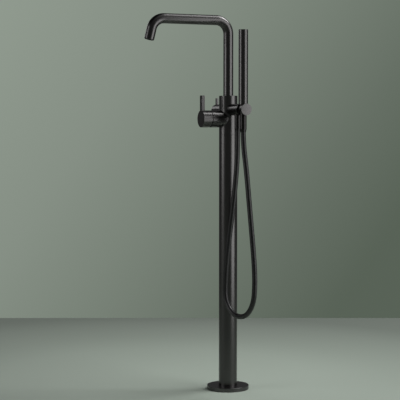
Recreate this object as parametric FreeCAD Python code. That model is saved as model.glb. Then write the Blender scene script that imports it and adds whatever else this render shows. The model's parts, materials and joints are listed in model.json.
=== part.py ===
import FreeCAD, Part
import math
import os

# Floor standing bath filler. Millimetres, +Z up, origin on the floor at the column's centre.
# The spout and the mixer lever point along -X, the hand shower arm along -Y and the
# diverter knob along +Y.

os.makedirs("parts", exist_ok=True)
V = FreeCAD.Vector

# ---------------------------------------------------------------- driving dimensions
# clearances
SEAT_GAP = 0.05          # radial gap of a piece seated in another
RUN_GAP = 0.08           # radial gap of a piece that turns in another
BODY_GAP = 0.3           # gap between pieces that move apart
CUT_PAST = 1.0           # how far a cut goes on past the surface that it opens

# floor flange
COVER_DIA = 115.0
COVER_HEIGHT = 11.0
COVER_WALL = 3.0
COVER_TOP = 2.6
COVER_ROUND = 0.9
SEAL_WIDTH = 1.4
SEAL_HEIGHT = 1.4
PLATE_THICK = 5.0
PLATE_EDGE_GAP = 0.5
BOLT_CIRCLE = 84.0
BOLT_HOLE = 6.5
BOLT_COUNT = 4
BOLT_TURN = 45.0
SPIGOT_HEIGHT = 70.0
SPIGOT_WALL = 2.8
CLAMP_SCREW_DIA = 5.0
CLAMP_SCREW_ABOVE_PLATE = 30.0
CLAMP_SCREW_ANGLES = (30.0, 100.0)

# column and supply pipes
COLUMN_DIA = 50.0
COLUMN_WALL = 2.0
COLUMN_TOP = 700.0
PIPE_DIA = 12.0
PIPE_WALL = 1.0
PIPE_SEAT = 14.0
COUPLING_WALL = 2.0
COUPLING_HEIGHT = 32.0
COUPLING_LIFT = 0.5
COLLAR_GAP = 0.35
COLLAR_STEP = 1.0
COLLAR_HEIGHT = 4.0
INLET_BORE = 12.2
INLET_DEPTH = 15.0
INLET_NECK = 9.0

# mixer body
BODY_TOP = 806.0
BODY_SPIGOT = 20.0
WATERWAY_DIA = 7.0

# lever barrel: distances are from the column's axis, along -X
LEVER_Z = 743.0
BARREL_DIA = 46.0
BARREL_WALL = 2.5
SLEEVE_END = 54.5
RIM_GAP = 1.5
CAP_END = 82.0
CAP_WALL = 2.0
CAP_BLOCK = 12.0
CAP_EDGE = 0.5
TILT_DEG = 15.0
TILT_GAP = 0.6
BOSS_END = 50.0
BOSS_WALL = 2.9
CARTRIDGE_BACK = 11.0
CARTRIDGE_FRONT = 46.0
CARTRIDGE_SOCKET = 12.0
TURRET_DIA = 24.0
TURRET_BACK = 8.0
TURRET_FRONT = 3.0
PIVOT_PIN_DIA = 3.0
STEM_WIDTH = 8.0
STEM_TAIL = 10.0
STEM_SEAT = 8.0
DOME_LENGTH = 10.0
SEAL_DIA = 7.6
SEAL_THICK = 1.2
LEVER_SCREW_DIA = 5.0
LEVER_SCREW_LENGTH = 8.0
BLADE_THICK = 9.2
BLADE_WIDTH = 13.0
BLADE_TOP = 806.4
BLADE_ROUND = 0.8
TENON_SHARE = 0.6
TENON_DEPTH = 8.0

# hand shower arm: distances are from the column's axis, along -Y
ARM_Z = 767.8
ARM_DIA = 31.2
ARM_END = 74.5
HOLDER_END = 113.4
HOLDER_EDGE = 0.6
HOLDER_TENON_DIA = 18.0
HOLDER_TENON = 4.5
OUTLET_AT = 59.2
OUTLET_HEAD_DIA = 20.0
OUTLET_HEAD_RECESS = 1.0
OUTLET_SLEEVE_DIA = 16.2
OUTLET_SLEEVE_BOTTOM = 712.0
SLEEVE_TAPER = 5.0
WASHER_THICK = 1.6
NIPPLE_DIA = 19.8
NIPPLE_WALL = 3.6
NIPPLE_IN_BODY = 12.5
NIPPLE_IN_ARM = 15.5
VALVE_DIA = 14.0
VALVE_LENGTH = 8.0
ARM_WATERWAY_DIA = 11.0
OUTLET_ROOF = 1.0
HOLDER_TENON_WALL = 2.0

# holder and hand shower
HANDSET_AT = 93.3
HANDSET_DIA = 25.2
HANDSET_WALL = 1.4
HANDSET_TOP = 979.7
HANDSET_TRAVEL = 60.0
SEAT_DEPTH = 2.3
SEAT_MARGIN = 0.4
SLOT_WIDTH = 18.0
LINER_WALL = 0.9
LINER_SLOT = 15.0
LINER_FOOT = 1.0
CONE_NUT_DIA = 18.3
CONE_NUT_BOTTOM = 709.0
CONE_NUT_TAPER = 7.0
STUB_DIA = 14.4
STUB_LENGTH = 12.0
FITTING_LENGTH = 18.0
TOP_PLUG = 6.0
CORE_WALL = 1.5
SPRAY_WIDTH = 10.0
SPRAY_LENGTH = 74.0
SPRAY_FROM_TOP = 15.0
NOZZLE_DIA = 1.4
NOZZLE_PROUD = 0.7
NOZZLE_ROWS = 14
NOZZLE_COLUMNS = (-3.0, 0.0, 3.0)

# diverter: distances are from the column's axis, along +Y
DIVERTER_DIA = 31.2
DIVERTER_WALL = 2.4
DIVERTER_SLEEVE_END = 52.0
DIVERTER_GAP = 1.0
DIVERTER_END = 77.0
DIVERTER_BLOCK = 9.0
DIVERTER_FACE = 21.0
DIVERTER_CORE_DIA = 19.8
DIVERTER_CORE_BACK = 6.0
DIVERTER_BACK_GAP = 1.0
DIVERTER_FLANGE = 5.0
DIVERTER_NECK_DIA = 16.0
DIVERTER_NECK_END = 46.0
DIVERTER_WEB = 4.0
SPINDLE_DIA = 8.0
SPINDLE_TAIL = 16.0
SPINDLE_SEAT = 6.0
DIVERTER_SCREW_DIA = 4.0
DIVERTER_SCREW_LENGTH = 6.0
DIVERTER_BLADE_THICK = 6.0
DIVERTER_BLADE_WIDTH = 7.2
DIVERTER_BLADE_TOP = 800.8
DIVERTER_TENON = 5.0

# spout
SPOUT_DIA = 27.0
SPOUT_WALL = 1.5
RUN_Z = 1010.0
BEND_RADIUS = 36.5
SPOUT_REACH = 231.8
LEG_LEAN_DEG = 14.0
OUTLET_DROP = 55.2       # from the run's axis down to the outlet
SPOUT_SOCKET = 27.0
BUSH_WALL = 2.0
BUSH_HEIGHT = 7.0
SPIGOT_LOW = 16.0
SPIGOT_HIGH = 20.0
SPIGOT_BORE = 18.0
RING_GROOVE = 2.0
RING_SECTION = 1.6
LOCK_GROOVE = 1.8
RING_LIFT = 2.5
RING_SPACING = 2.0
LOCK_SPACING = 2.2
SPIGOT_LIFT = 1.0
LOCK_SCREW_DIA = 4.0
AERATOR_THREAD = 10.0
AERATOR_LIP = 1.8
AERATOR_LIP_INSET = 0.9
AERATOR_BORE = 20.4
AERATOR_INSERT = 5.0
AERATOR_HOLE = 1.5
AERATOR_RING_RADII = (0.0, 3.4, 6.8)
AERATOR_RING_COUNTS = (1, 6, 12)
AERATOR_SET_BACK = 1.0

# hose: its route from the arm's outlet sleeve to the hand shower's nut, chosen by hand
HOSE_DIA = 14.0
HOSE_WALL = 3.0
HOSE_BENDS = [
    (0.0, -59.2, 668.0),
    (-1.9, -56.6, 612.0),
    (-7.3, -48.2, 520.0),
    (-17.7, -35.9, 420.0),
    (-22.3, -28.9, 350.0),
    (-23.7, -26.1, 300.0),
    (-23.4, -27.3, 246.0),
    (-14.1, -63.2, 208.0),
    (-1.0, -112.9, 208.0),
    (8.7, -147.9, 246.0),
    (9.8, -147.8, 300.0),
    (9.9, -142.4, 352.0),
    (8.9, -134.8, 408.0),
    (6.8, -118.6, 510.0),
    (4.2, -104.8, 608.0),
    (0.5, -94.9, 668.0),
]
HOSE_ARC_SHARE = 0.45
HOSE_END_GAP = 0.6

# ---------------------------------------------------------------- worked out from them
UP = V(0, 0, 1)
TOWARDS_SPOUT = V(-1, 0, 0)
TOWARDS_HOLDER = V(0, -1, 0)
TOWARDS_DIVERTER = V(0, 1, 0)

column_r = COLUMN_DIA / 2
column_bore_r = column_r - COLUMN_WALL
spigot_r = column_bore_r - SEAT_GAP
spigot_bore_r = spigot_r - SPIGOT_WALL
pipe_y = spigot_bore_r / 2
collar_r = spigot_bore_r / 2 - COLLAR_GAP
coupling_r = collar_r - COLLAR_STEP
pipe_r = PIPE_DIA / 2
waterway_r = WATERWAY_DIA / 2

barrel_r = BARREL_DIA / 2
cap_bore_r = barrel_r - CAP_WALL
rim_at = SLEEVE_END + RIM_GAP
boss_r = barrel_r - BARREL_WALL - SEAT_GAP
cartridge_bore_r = boss_r - BOSS_WALL
cartridge_r = cartridge_bore_r - SEAT_GAP
pivot_at = CARTRIDGE_FRONT
turret_r = TURRET_DIA / 2
block_at = CAP_END - CAP_BLOCK

arm_r = ARM_DIA / 2
seat_z = ARM_Z + arm_r - SEAT_DEPTH
arm_bottom = ARM_Z - arm_r
handset_r = HANDSET_DIA / 2
handset_base = seat_z + BODY_GAP
nut_r = CONE_NUT_DIA / 2
liner_bore_r = nut_r + BODY_GAP
liner_r = liner_bore_r + LINER_WALL
holder_bore_r = liner_r + SEAT_GAP
head_r = OUTLET_HEAD_DIA / 2
sleeve_r = OUTLET_SLEEVE_DIA / 2
hose_r = HOSE_DIA / 2
hose_bore_r = hose_r - HOSE_WALL
outlet_ceiling = ARM_Z - ARM_WATERWAY_DIA / 2 - OUTLET_ROOF

diverter_r = DIVERTER_DIA / 2
diverter_core_r = DIVERTER_CORE_DIA / 2
knob_at = DIVERTER_SLEEVE_END + DIVERTER_GAP
knob_block_at = DIVERTER_END - DIVERTER_BLOCK
spindle_r = SPINDLE_DIA / 2
diverter_back = DIVERTER_CORE_BACK + DIVERTER_BACK_GAP

spout_r = SPOUT_DIA / 2
spout_bore_r = spout_r - SPOUT_WALL
socket_floor = BODY_TOP - SPOUT_SOCKET
spout_foot = socket_floor + SPIGOT_LIFT
tube_foot = spout_foot + SPIGOT_LOW


# ---------------------------------------------------------------- small helpers
def rod(radius, start, axis, length):
    """A solid cylinder from start along axis."""
    return Part.makeCylinder(radius, length, start, axis)


def pipe(outer, inner, start, axis, length):
    """A round tube from start along axis."""
    return rod(outer, start, axis, length).cut(rod(inner, start, axis, length))


def upright(radius, x, y, low, high):
    """A vertical cylinder between two heights."""
    return rod(radius, V(x, y, low), UP, high - low)


def block(x0, x1, y0, y1, z0, z1):
    """A box between its lowest and highest corners."""
    return Part.makeBox(x1 - x0, y1 - y0, z1 - z0, V(x0, y0, z0))


def spun(profile, x, y):
    """A solid turned about the vertical line at x, y from (radius, height) points."""
    points = [V(x + r, y, z) for r, z in profile]
    face = Part.Face(Part.makePolygon(points + points[:1]))
    return face.revolve(V(x, y, 0), UP, 360)


def rounded(shape, size, chosen):
    """The shape with the chosen edges rounded."""
    return shape.makeFillet(size, [edge for edge in shape.Edges if chosen(edge)])


def circles_at(centre, axis, radius):
    """A test for the round edges of one radius in one plane."""
    def test(edge):
        curve = edge.Curve
        if not isinstance(curve, Part.Circle):
            return False
        offset = (curve.Center - centre).dot(axis)
        return abs(curve.Radius - radius) < 1e-4 and abs(offset) < 1e-4
    return test


def on_lever(distance, y=0.0, z=0.0):
    """A point on the lever barrel's axis, or beside it."""
    return V(-distance, y, LEVER_Z + z)


def on_arm(distance, x=0.0, z=0.0):
    """A point on the hand shower arm's axis, or beside it."""
    return V(x, -distance, ARM_Z + z)


def on_diverter(distance, x=0.0, z=0.0):
    """A point on the diverter's axis, or beside it."""
    return V(x, distance, ARM_Z + z)


def barrel_part(outer, inner, start, end):
    """A tube along the lever barrel's axis."""
    return pipe(outer, inner, on_lever(start), TOWARDS_SPOUT, end - start)


def save(node, shape):
    """Write one node's file."""
    shape.exportStep("parts/" + node + ".step")


# ---------------------------------------------------------------- floor flange
def mounting_plate():
    """The steel plate that is bolted to the floor, with a hole for each inlet."""
    radius = COVER_DIA / 2 - COVER_WALL - PLATE_EDGE_GAP
    plate = upright(radius, 0, 0, 0, PLATE_THICK)
    for side in (-1, 1):
        plate = plate.cut(upright(coupling_r + SEAT_GAP, 0, side * pipe_y, 0, PLATE_THICK))
    for index in range(BOLT_COUNT):
        angle = math.radians(BOLT_TURN + index * 360.0 / BOLT_COUNT)
        x = BOLT_CIRCLE / 2 * math.cos(angle)
        y = BOLT_CIRCLE / 2 * math.sin(angle)
        plate = plate.cut(upright(BOLT_HOLE / 2, x, y, 0, PLATE_THICK))
    return plate


def flange_cover():
    """The round cover over the plate, open below, with a groove for the seal ring."""
    outer = COVER_DIA / 2
    cover = upright(outer, 0, 0, 0, COVER_HEIGHT)
    cover = rounded(cover, COVER_ROUND, circles_at(V(0, 0, COVER_HEIGHT), UP, outer))
    cover = cover.cut(upright(outer - COVER_WALL, 0, 0, 0, COVER_HEIGHT - COVER_TOP))
    cover = cover.cut(upright(column_r + BODY_GAP, 0, 0, 0, COVER_HEIGHT))
    groove_low = COVER_HEIGHT - COVER_TOP
    return cover.cut(upright(column_r + SEAL_WIDTH + SEAT_GAP, 0, 0, groove_low, groove_low + SEAL_HEIGHT))


def flange_seal_ring():
    """The rubber ring that closes the gap between the cover and the column."""
    low = COVER_HEIGHT - COVER_TOP
    return pipe(column_r + SEAL_WIDTH, column_r + SEAT_GAP, V(0, 0, low), UP, SEAL_HEIGHT)


def clamp_screw_line(angle):
    """The direction of a clamp screw, outwards from the column's axis."""
    return V(math.cos(math.radians(angle)), math.sin(math.radians(angle)), 0)


def clamp_screw_holes(radius):
    """The holes of the clamp screws, through the column's and the spigot's walls."""
    holes = []
    for angle in CLAMP_SCREW_ANGLES:
        start = clamp_screw_line(angle) * spigot_bore_r + UP * (PLATE_THICK + CLAMP_SCREW_ABOVE_PLATE)
        holes.append(rod(radius, start, clamp_screw_line(angle), column_r - spigot_bore_r + CUT_PAST))
    return holes


def column_spigot():
    """The tube on the plate that the column slips over."""
    spigot = pipe(spigot_r, spigot_bore_r, V(0, 0, PLATE_THICK), UP, SPIGOT_HEIGHT)
    for hole in clamp_screw_holes(CLAMP_SCREW_DIA / 2 + SEAT_GAP):
        spigot = spigot.cut(hole)
    return spigot


def column_clamp_screws():
    """The grub screws that clamp the column on its spigot, just under its surface."""
    skin = Part.makeCylinder(column_r - 0.4, 2 * SPIGOT_HEIGHT, V(0, 0, 0), UP)
    return Part.makeCompound([hole.common(skin) for hole in clamp_screw_holes(CLAMP_SCREW_DIA / 2)])


def column_tube():
    """The visible column, from the plate to the mixer body."""
    column = pipe(column_r, column_bore_r, V(0, 0, PLATE_THICK), UP, COLUMN_TOP - PLATE_THICK)
    for hole in clamp_screw_holes(CLAMP_SCREW_DIA / 2 + SEAT_GAP):
        column = column.cut(hole)
    return column


# ---------------------------------------------------------------- supply
pipe_foot = COUPLING_LIFT + COUPLING_HEIGHT - PIPE_SEAT
pipe_head = COLUMN_TOP - BODY_SPIGOT + PIPE_SEAT


def inlet_coupling(side):
    """A push-in coupling for a supply pipe that comes up through the floor."""
    low = COUPLING_LIFT
    high = low + COUPLING_HEIGHT
    y = side * pipe_y
    body = upright(coupling_r, 0, y, low, PLATE_THICK)
    body = body.fuse(upright(collar_r, 0, y, PLATE_THICK, PLATE_THICK + COLLAR_HEIGHT))
    body = body.fuse(upright(pipe_r + COUPLING_WALL, 0, y, PLATE_THICK + COLLAR_HEIGHT, high))
    body = body.cut(upright(INLET_BORE / 2, 0, y, low, low + INLET_DEPTH))
    body = body.cut(upright(INLET_NECK / 2, 0, y, low, high))
    return body.cut(upright(pipe_r + SEAT_GAP, 0, y, pipe_foot, high)).removeSplitter()


def supply_pipe(side):
    """A copper pipe inside the column, from its coupling to the mixer body."""
    return pipe(pipe_r, pipe_r - PIPE_WALL, V(0, side * pipe_y, pipe_foot), UP, pipe_head - pipe_foot)


# ---------------------------------------------------------------- mixer body
def mixer_body():
    """The cast body on top of the column, with its chambers and waterways."""
    body = upright(column_r, 0, 0, COLUMN_TOP, BODY_TOP)
    body = body.fuse(upright(spigot_r, 0, 0, COLUMN_TOP - BODY_SPIGOT, COLUMN_TOP))
    body = body.fuse(rod(boss_r, on_lever(0), TOWARDS_SPOUT, BOSS_END))
    diverter_start = on_diverter(-diverter_back)
    diverter_length = diverter_back + column_r
    cuts = [
        rod(cartridge_bore_r, on_lever(CARTRIDGE_BACK), TOWARDS_SPOUT, BOSS_END),
        rod(waterway_r, on_lever(0), TOWARDS_SPOUT, CARTRIDGE_BACK),
        upright(waterway_r, 0, 0, LEVER_Z, socket_floor),
        upright(spout_r + RUN_GAP, 0, 0, socket_floor, BODY_TOP),
        upright(spout_r + BUSH_WALL + SEAT_GAP, 0, 0, BODY_TOP - BUSH_HEIGHT, BODY_TOP),
        rod(diverter_core_r + SEAT_GAP, diverter_start, TOWARDS_DIVERTER, diverter_length),
        rod(diverter_r - DIVERTER_WALL, on_diverter(DIVERTER_FACE), TOWARDS_DIVERTER, column_r),
        rod(NIPPLE_DIA / 2 + SEAT_GAP, on_arm(NIPPLE_IN_BODY), TOWARDS_HOLDER, column_r),
        rod(waterway_r, on_arm(0), TOWARDS_HOLDER, column_r),
        lock_screw_rod(LOCK_SCREW_DIA / 2 + SEAT_GAP, column_r + CUT_PAST),
    ]
    for side in (-1, 1):
        y = side * pipe_y
        cuts.append(upright(pipe_r + SEAT_GAP, 0, y, COLUMN_TOP - BODY_SPIGOT, pipe_head))
        cuts.append(upright(waterway_r, 0, y, pipe_head, LEVER_Z))
        cuts.append(rod(waterway_r, V(0, y, LEVER_Z), TOWARDS_SPOUT, CARTRIDGE_BACK))
    for piece in cuts:
        body = body.cut(piece)
    return body.removeSplitter()


# ---------------------------------------------------------------- lever barrel
def lever_sleeve():
    """The fixed part of the barrel, shaped to the column where it meets it."""
    sleeve = barrel_part(barrel_r, boss_r + SEAT_GAP, 0, SLEEVE_END)
    sleeve = sleeve.cut(upright(column_r + SEAT_GAP, 0, 0, COLUMN_TOP - barrel_r, BODY_TOP))
    return max(sleeve.Solids, key=lambda solid: -solid.CenterOfMass.x)


def cartridge_body():
    """The ceramic cartridge's housing in the boss."""
    housing = rod(cartridge_r, on_lever(CARTRIDGE_BACK + SEAL_THICK), TOWARDS_SPOUT,
                  CARTRIDGE_FRONT - CARTRIDGE_BACK - SEAL_THICK)
    socket = rod(turret_r + RUN_GAP, on_lever(CARTRIDGE_FRONT - CARTRIDGE_SOCKET), TOWARDS_SPOUT,
                 CARTRIDGE_SOCKET)
    housing = housing.cut(socket)
    for y in (-pipe_y, 0.0, pipe_y):
        housing = housing.cut(rod(waterway_r, on_lever(CARTRIDGE_BACK, y), TOWARDS_SPOUT, 2 * WATERWAY_DIA))
    return housing


def cartridge_seals():
    """The three rubber seals between the cartridge and the body's waterways."""
    rings = []
    for y in (-pipe_y, 0.0, pipe_y):
        start = on_lever(CARTRIDGE_BACK, y)
        rings.append(pipe(SEAL_DIA / 2 + 1.0, waterway_r, start, TOWARDS_SPOUT, SEAL_THICK))
    return Part.makeCompound(rings)


def cartridge_turret():
    """The round part of the cartridge that turns with the lever and carries its pivot."""
    length = TURRET_BACK + TURRET_FRONT
    turret = rod(turret_r, on_lever(pivot_at - TURRET_BACK), TOWARDS_SPOUT, length)
    tall = math.sin(math.radians(TILT_DEG)) * TURRET_BACK + STEM_WIDTH / 2 + 2 * BODY_GAP
    wide = STEM_WIDTH / 2 + RUN_GAP
    front = -pivot_at + TURRET_BACK
    slot = block(front - length, front, -wide, wide, LEVER_Z - tall, LEVER_Z + tall)
    return turret.cut(slot).cut(pivot_rod(PIVOT_PIN_DIA / 2, turret_r))


def pivot_rod(radius, half_length):
    """A cylinder along Y on the lever's tilting axis."""
    return rod(radius, on_lever(pivot_at, -half_length), V(0, 1, 0), 2 * half_length)


def turret_pin():
    """The pin that the lever's stem tilts on."""
    return pivot_rod(PIVOT_PIN_DIA / 2, turret_r - 0.8)


def lever_stem():
    """The square stem between the cartridge and the lever cap."""
    half = STEM_WIDTH / 2
    tip = -block_at - STEM_SEAT
    stem = block(tip, -pivot_at + STEM_TAIL, -half, half, LEVER_Z - half, LEVER_Z + half)
    return stem.cut(pivot_rod(PIVOT_PIN_DIA / 2 + RUN_GAP, half + CUT_PAST))


def dome_radius():
    """The ball on the pivot that the tilting cap's rim stays clear of."""
    return math.hypot(rim_at - pivot_at, cap_bore_r) - TILT_GAP


def cartridge_nut():
    """The nut that holds the cartridge, with a domed nose under the lever cap."""
    nose = rod(boss_r, on_lever(BOSS_END), TOWARDS_SPOUT, DOME_LENGTH)
    nose = nose.common(Part.makeSphere(dome_radius(), on_lever(pivot_at)))
    skirt = rod(cartridge_r, on_lever(CARTRIDGE_FRONT), TOWARDS_SPOUT, BOSS_END - CARTRIDGE_FRONT)
    nut = nose.fuse(skirt)
    nose_end = BOSS_END + DOME_LENGTH
    bore = rod(turret_r + 2 * BODY_GAP, on_lever(CARTRIDGE_FRONT), TOWARDS_SPOUT, nose_end - CARTRIDGE_FRONT)
    return nut.cut(bore).removeSplitter()


def tilt_relief():
    """What is cut from the cap's lower rim, so that it clears the sleeve when it tilts."""
    size = 4 * BARREL_DIA
    angle = math.radians(TILT_DEG)
    reach = SLEEVE_END - pivot_at + TILT_GAP
    near = Part.makeBox(size, size, size, V(0, -size / 2, -size / 2))
    near.translate(V(-reach, 0, 0))
    near.rotate(V(0, 0, 0), V(0, 1, 0), math.degrees(angle))
    near.translate(on_lever(pivot_at))
    return near


def lever_cap():
    """The tilting and turning cap at the barrel's end, closed by a thick end."""
    cap = rod(barrel_r, on_lever(rim_at), TOWARDS_SPOUT, CAP_END - rim_at)
    cap = rounded(cap, CAP_EDGE, circles_at(on_lever(CAP_END), TOWARDS_SPOUT, barrel_r))
    cap = cap.cut(rod(cap_bore_r, on_lever(rim_at), TOWARDS_SPOUT, block_at - rim_at))
    cap = cap.cut(tilt_relief())
    half = STEM_WIDTH / 2 + SEAT_GAP
    tip = -block_at - STEM_SEAT
    cap = cap.cut(block(tip, -block_at, -half, half, LEVER_Z - half, LEVER_Z + half))
    screw_at = block_at + STEM_SEAT / 2
    low = -barrel_r - CUT_PAST
    screw = rod(LEVER_SCREW_DIA / 2 + SEAT_GAP, on_lever(screw_at, 0, low), UP, -low)
    return cap.cut(screw).cut(blade_tenon(2 * SEAT_GAP))


def lever_set_screw():
    """The grub screw that clamps the cap on the stem, from below."""
    top = -STEM_WIDTH / 2 - SEAT_GAP
    start = on_lever(block_at + STEM_SEAT / 2, 0, top - LEVER_SCREW_LENGTH)
    return rod(LEVER_SCREW_DIA / 2, start, UP, LEVER_SCREW_LENGTH)


def blade_tenon(gap):
    """The tongue under the lever blade, with a gap all round for its pocket."""
    middle = -CAP_END + BLADE_THICK / 2
    half_x = BLADE_THICK * TENON_SHARE / 2 + gap
    half_y = BLADE_WIDTH * TENON_SHARE / 2 + gap
    low = LEVER_Z + barrel_r - TENON_DEPTH - gap
    return block(middle - half_x, middle + half_x, -half_y, half_y, low, LEVER_Z + barrel_r + CUT_PAST)


def lever_blade():
    """The flat bar that stands on the cap, flush with its end."""
    half = BLADE_WIDTH / 2
    blade = block(-CAP_END, -CAP_END + BLADE_THICK, -half, half, LEVER_Z, BLADE_TOP)
    outer = [e for e in blade.Edges if e.BoundBox.ZMax > BLADE_TOP - 1e-6]
    blade = blade.makeFillet(BLADE_ROUND, outer)
    start = on_lever(CAP_END - BLADE_THICK - CUT_PAST)
    blade = blade.cut(rod(barrel_r + SEAT_GAP, start, TOWARDS_SPOUT, BLADE_THICK + 2 * CUT_PAST))
    return blade.fuse(blade_tenon(0.0)).removeSplitter()


# ---------------------------------------------------------------- hand shower arm
def arm_nipple():
    """The threaded nipple that joins the arm to the body."""
    length = column_r - NIPPLE_IN_BODY + NIPPLE_IN_ARM
    radius = NIPPLE_DIA / 2
    return pipe(radius, radius - NIPPLE_WALL, on_arm(NIPPLE_IN_BODY), TOWARDS_HOLDER, length)


def outlet_arm():
    """The arm that carries the hose outlet and the holder."""
    arm = rod(arm_r, on_arm(0), TOWARDS_HOLDER, ARM_END)
    arm = arm.cut(upright(column_r + SEAT_GAP, 0, 0, ARM_Z - 2 * arm_r, ARM_Z + 2 * arm_r))
    nipple_end = column_r + NIPPLE_IN_ARM
    waterway_end = ARM_END - HOLDER_TENON - HOLDER_TENON_WALL
    cuts = [
        rod(NIPPLE_DIA / 2 + SEAT_GAP, on_arm(0), TOWARDS_HOLDER, nipple_end),
        rod(VALVE_DIA / 2 + SEAT_GAP, on_arm(0), TOWARDS_HOLDER, nipple_end + VALVE_LENGTH),
        rod(ARM_WATERWAY_DIA / 2, on_arm(0), TOWARDS_HOLDER, waterway_end),
        upright(head_r + SEAT_GAP, 0, -OUTLET_AT, arm_bottom - CUT_PAST, outlet_ceiling),
        upright(hose_bore_r, 0, -OUTLET_AT, outlet_ceiling - CUT_PAST, ARM_Z),
        rod(HOLDER_TENON_DIA / 2 + SEAT_GAP, on_arm(ARM_END - HOLDER_TENON), TOWARDS_HOLDER, HOLDER_TENON),
    ]
    for piece in cuts:
        arm = arm.cut(piece)
    return max(arm.Solids, key=lambda solid: solid.Volume)


def non_return_valve():
    """The check valve in the arm's waterway."""
    start = on_arm(column_r + NIPPLE_IN_ARM)
    valve = rod(VALVE_DIA / 2, start, TOWARDS_HOLDER, VALVE_LENGTH)
    ring = pipe(VALVE_DIA / 2 - 1.5, 2.0, start, TOWARDS_HOLDER, VALVE_LENGTH / 2)
    return valve.cut(ring)


def hose_outlet_washer():
    """The rubber washer above the hose's sleeve."""
    low = outlet_ceiling - WASHER_THICK
    return pipe(head_r - 0.2, hose_bore_r, V(0, -OUTLET_AT, low), UP, WASHER_THICK)


def hose_outlet_sleeve():
    """The sleeve that carries the hose under the arm, with its threaded head inside."""
    head_low = arm_bottom + OUTLET_HEAD_RECESS
    head_top = outlet_ceiling - WASHER_THICK
    bottom = OUTLET_SLEEVE_BOTTOM
    profile = [
        (hose_bore_r, bottom),
        (hose_r + 0.3, bottom),
        (sleeve_r, bottom + SLEEVE_TAPER),
        (sleeve_r, head_low),
        (head_r, head_low),
        (head_r, head_top),
        (hose_bore_r, head_top),
    ]
    return spun(profile, 0, -OUTLET_AT)


# ---------------------------------------------------------------- holder
def slot_cut(width, depth):
    """The holder's slot towards the bath, open above and below."""
    return block(-arm_r - CUT_PAST, -depth, -HANDSET_AT - width / 2, -HANDSET_AT + width / 2,
                 arm_bottom - CUT_PAST, ARM_Z + arm_r + CUT_PAST)


def handset_holder():
    """The round end of the arm with an upright hole and a slot for the hose."""
    holder = rod(arm_r, on_arm(ARM_END), TOWARDS_HOLDER, HOLDER_END - ARM_END)
    holder = rounded(holder, HOLDER_EDGE, circles_at(on_arm(HOLDER_END), TOWARDS_HOLDER, arm_r))
    tenon = rod(HOLDER_TENON_DIA / 2, on_arm(ARM_END - HOLDER_TENON), TOWARDS_HOLDER, HOLDER_TENON)
    holder = holder.fuse(tenon)
    high = ARM_Z + arm_r + CUT_PAST
    holder = holder.cut(upright(holder_bore_r, 0, -HANDSET_AT, arm_bottom - CUT_PAST, high))
    holder = holder.cut(upright(handset_r + SEAT_MARGIN, 0, -HANDSET_AT, seat_z, high))
    return holder.cut(slot_cut(SLOT_WIDTH, 0.0)).removeSplitter()


def holder_liner():
    """The plastic liner in the holder's hole."""
    low = arm_bottom + LINER_FOOT
    liner = pipe(liner_r, liner_bore_r, V(0, -HANDSET_AT, low), UP, seat_z - BODY_GAP - low)
    liner = liner.cut(slot_cut(LINER_SLOT, 0.0))
    outside = arm_skin()
    return liner.common(outside)


def arm_skin():
    """The space within the arm's round outside, so that nothing stands out of it."""
    return rod(arm_r - 0.2, on_arm(ARM_END), TOWARDS_HOLDER, HOLDER_END - ARM_END)


# ---------------------------------------------------------------- hand shower
handset_bore_r = handset_r - HANDSET_WALL
insert_r = handset_bore_r - SEAT_GAP
spray_top = HANDSET_TOP - SPRAY_FROM_TOP
spray_low = spray_top - SPRAY_LENGTH


def spray_window(gap):
    """The space of the spray plate in the tube's wall, on the side away from the bath."""
    half = SPRAY_WIDTH / 2 + gap
    y = -HANDSET_AT
    return block(0, handset_r + CUT_PAST, y - half, y + half, spray_low - gap, spray_top + gap)


def handset_tube():
    """The hand shower's outer tube, with a window for the spray plate."""
    tube = pipe(handset_r, handset_bore_r, V(0, -HANDSET_AT, handset_base), UP, HANDSET_TOP - handset_base)
    return tube.cut(spray_window(SEAT_GAP))


def nozzle_rods(radius, start, end):
    """One cylinder for each nozzle, from one distance to another from the tube's axis."""
    rods = []
    pitch = SPRAY_LENGTH / NOZZLE_ROWS
    for row in range(NOZZLE_ROWS):
        z = spray_low + (row + 0.5) * pitch
        for y in NOZZLE_COLUMNS:
            rods.append(rod(radius, V(start, y - HANDSET_AT, z), V(1, 0, 0), end - start))
    return rods


def spray_plate():
    """The curved plate that holds the nozzles."""
    shell = pipe(handset_r - 0.1, handset_bore_r, V(0, -HANDSET_AT, spray_low), UP, SPRAY_LENGTH)
    plate = shell.common(spray_window(0.0))
    holes = Part.makeCompound(nozzle_rods(NOZZLE_DIA / 2 + 0.02, 0, handset_r + 2.0))
    return plate.cut(holes)


def spray_nozzles():
    """The soft nozzles, each a short cylinder through the plate."""
    return Part.makeCompound(nozzle_rods(NOZZLE_DIA / 2, handset_bore_r, handset_r + NOZZLE_PROUD))


def handset_core():
    """The plastic water tube inside the hand shower."""
    low = handset_base + FITTING_LENGTH
    high = HANDSET_TOP - TOP_PLUG
    return pipe(insert_r - 0.4, insert_r - CORE_WALL, V(0, -HANDSET_AT, low), UP, high - low)


def handset_top_plug():
    """The disc that closes the tube at the top."""
    plug = upright(insert_r, 0, -HANDSET_AT, HANDSET_TOP - TOP_PLUG, HANDSET_TOP - 0.3)
    return plug


def handset_end_fitting():
    """The brass end of the hand shower, with the threaded stub for the hose's nut."""
    fitting = upright(insert_r, 0, -HANDSET_AT, handset_base, handset_base + FITTING_LENGTH)
    fitting = fitting.fuse(upright(STUB_DIA / 2, 0, -HANDSET_AT, handset_base - STUB_LENGTH, handset_base))
    bore = upright(hose_bore_r, 0, -HANDSET_AT, handset_base - STUB_LENGTH, handset_base + FITTING_LENGTH)
    return fitting.cut(bore)


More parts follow.
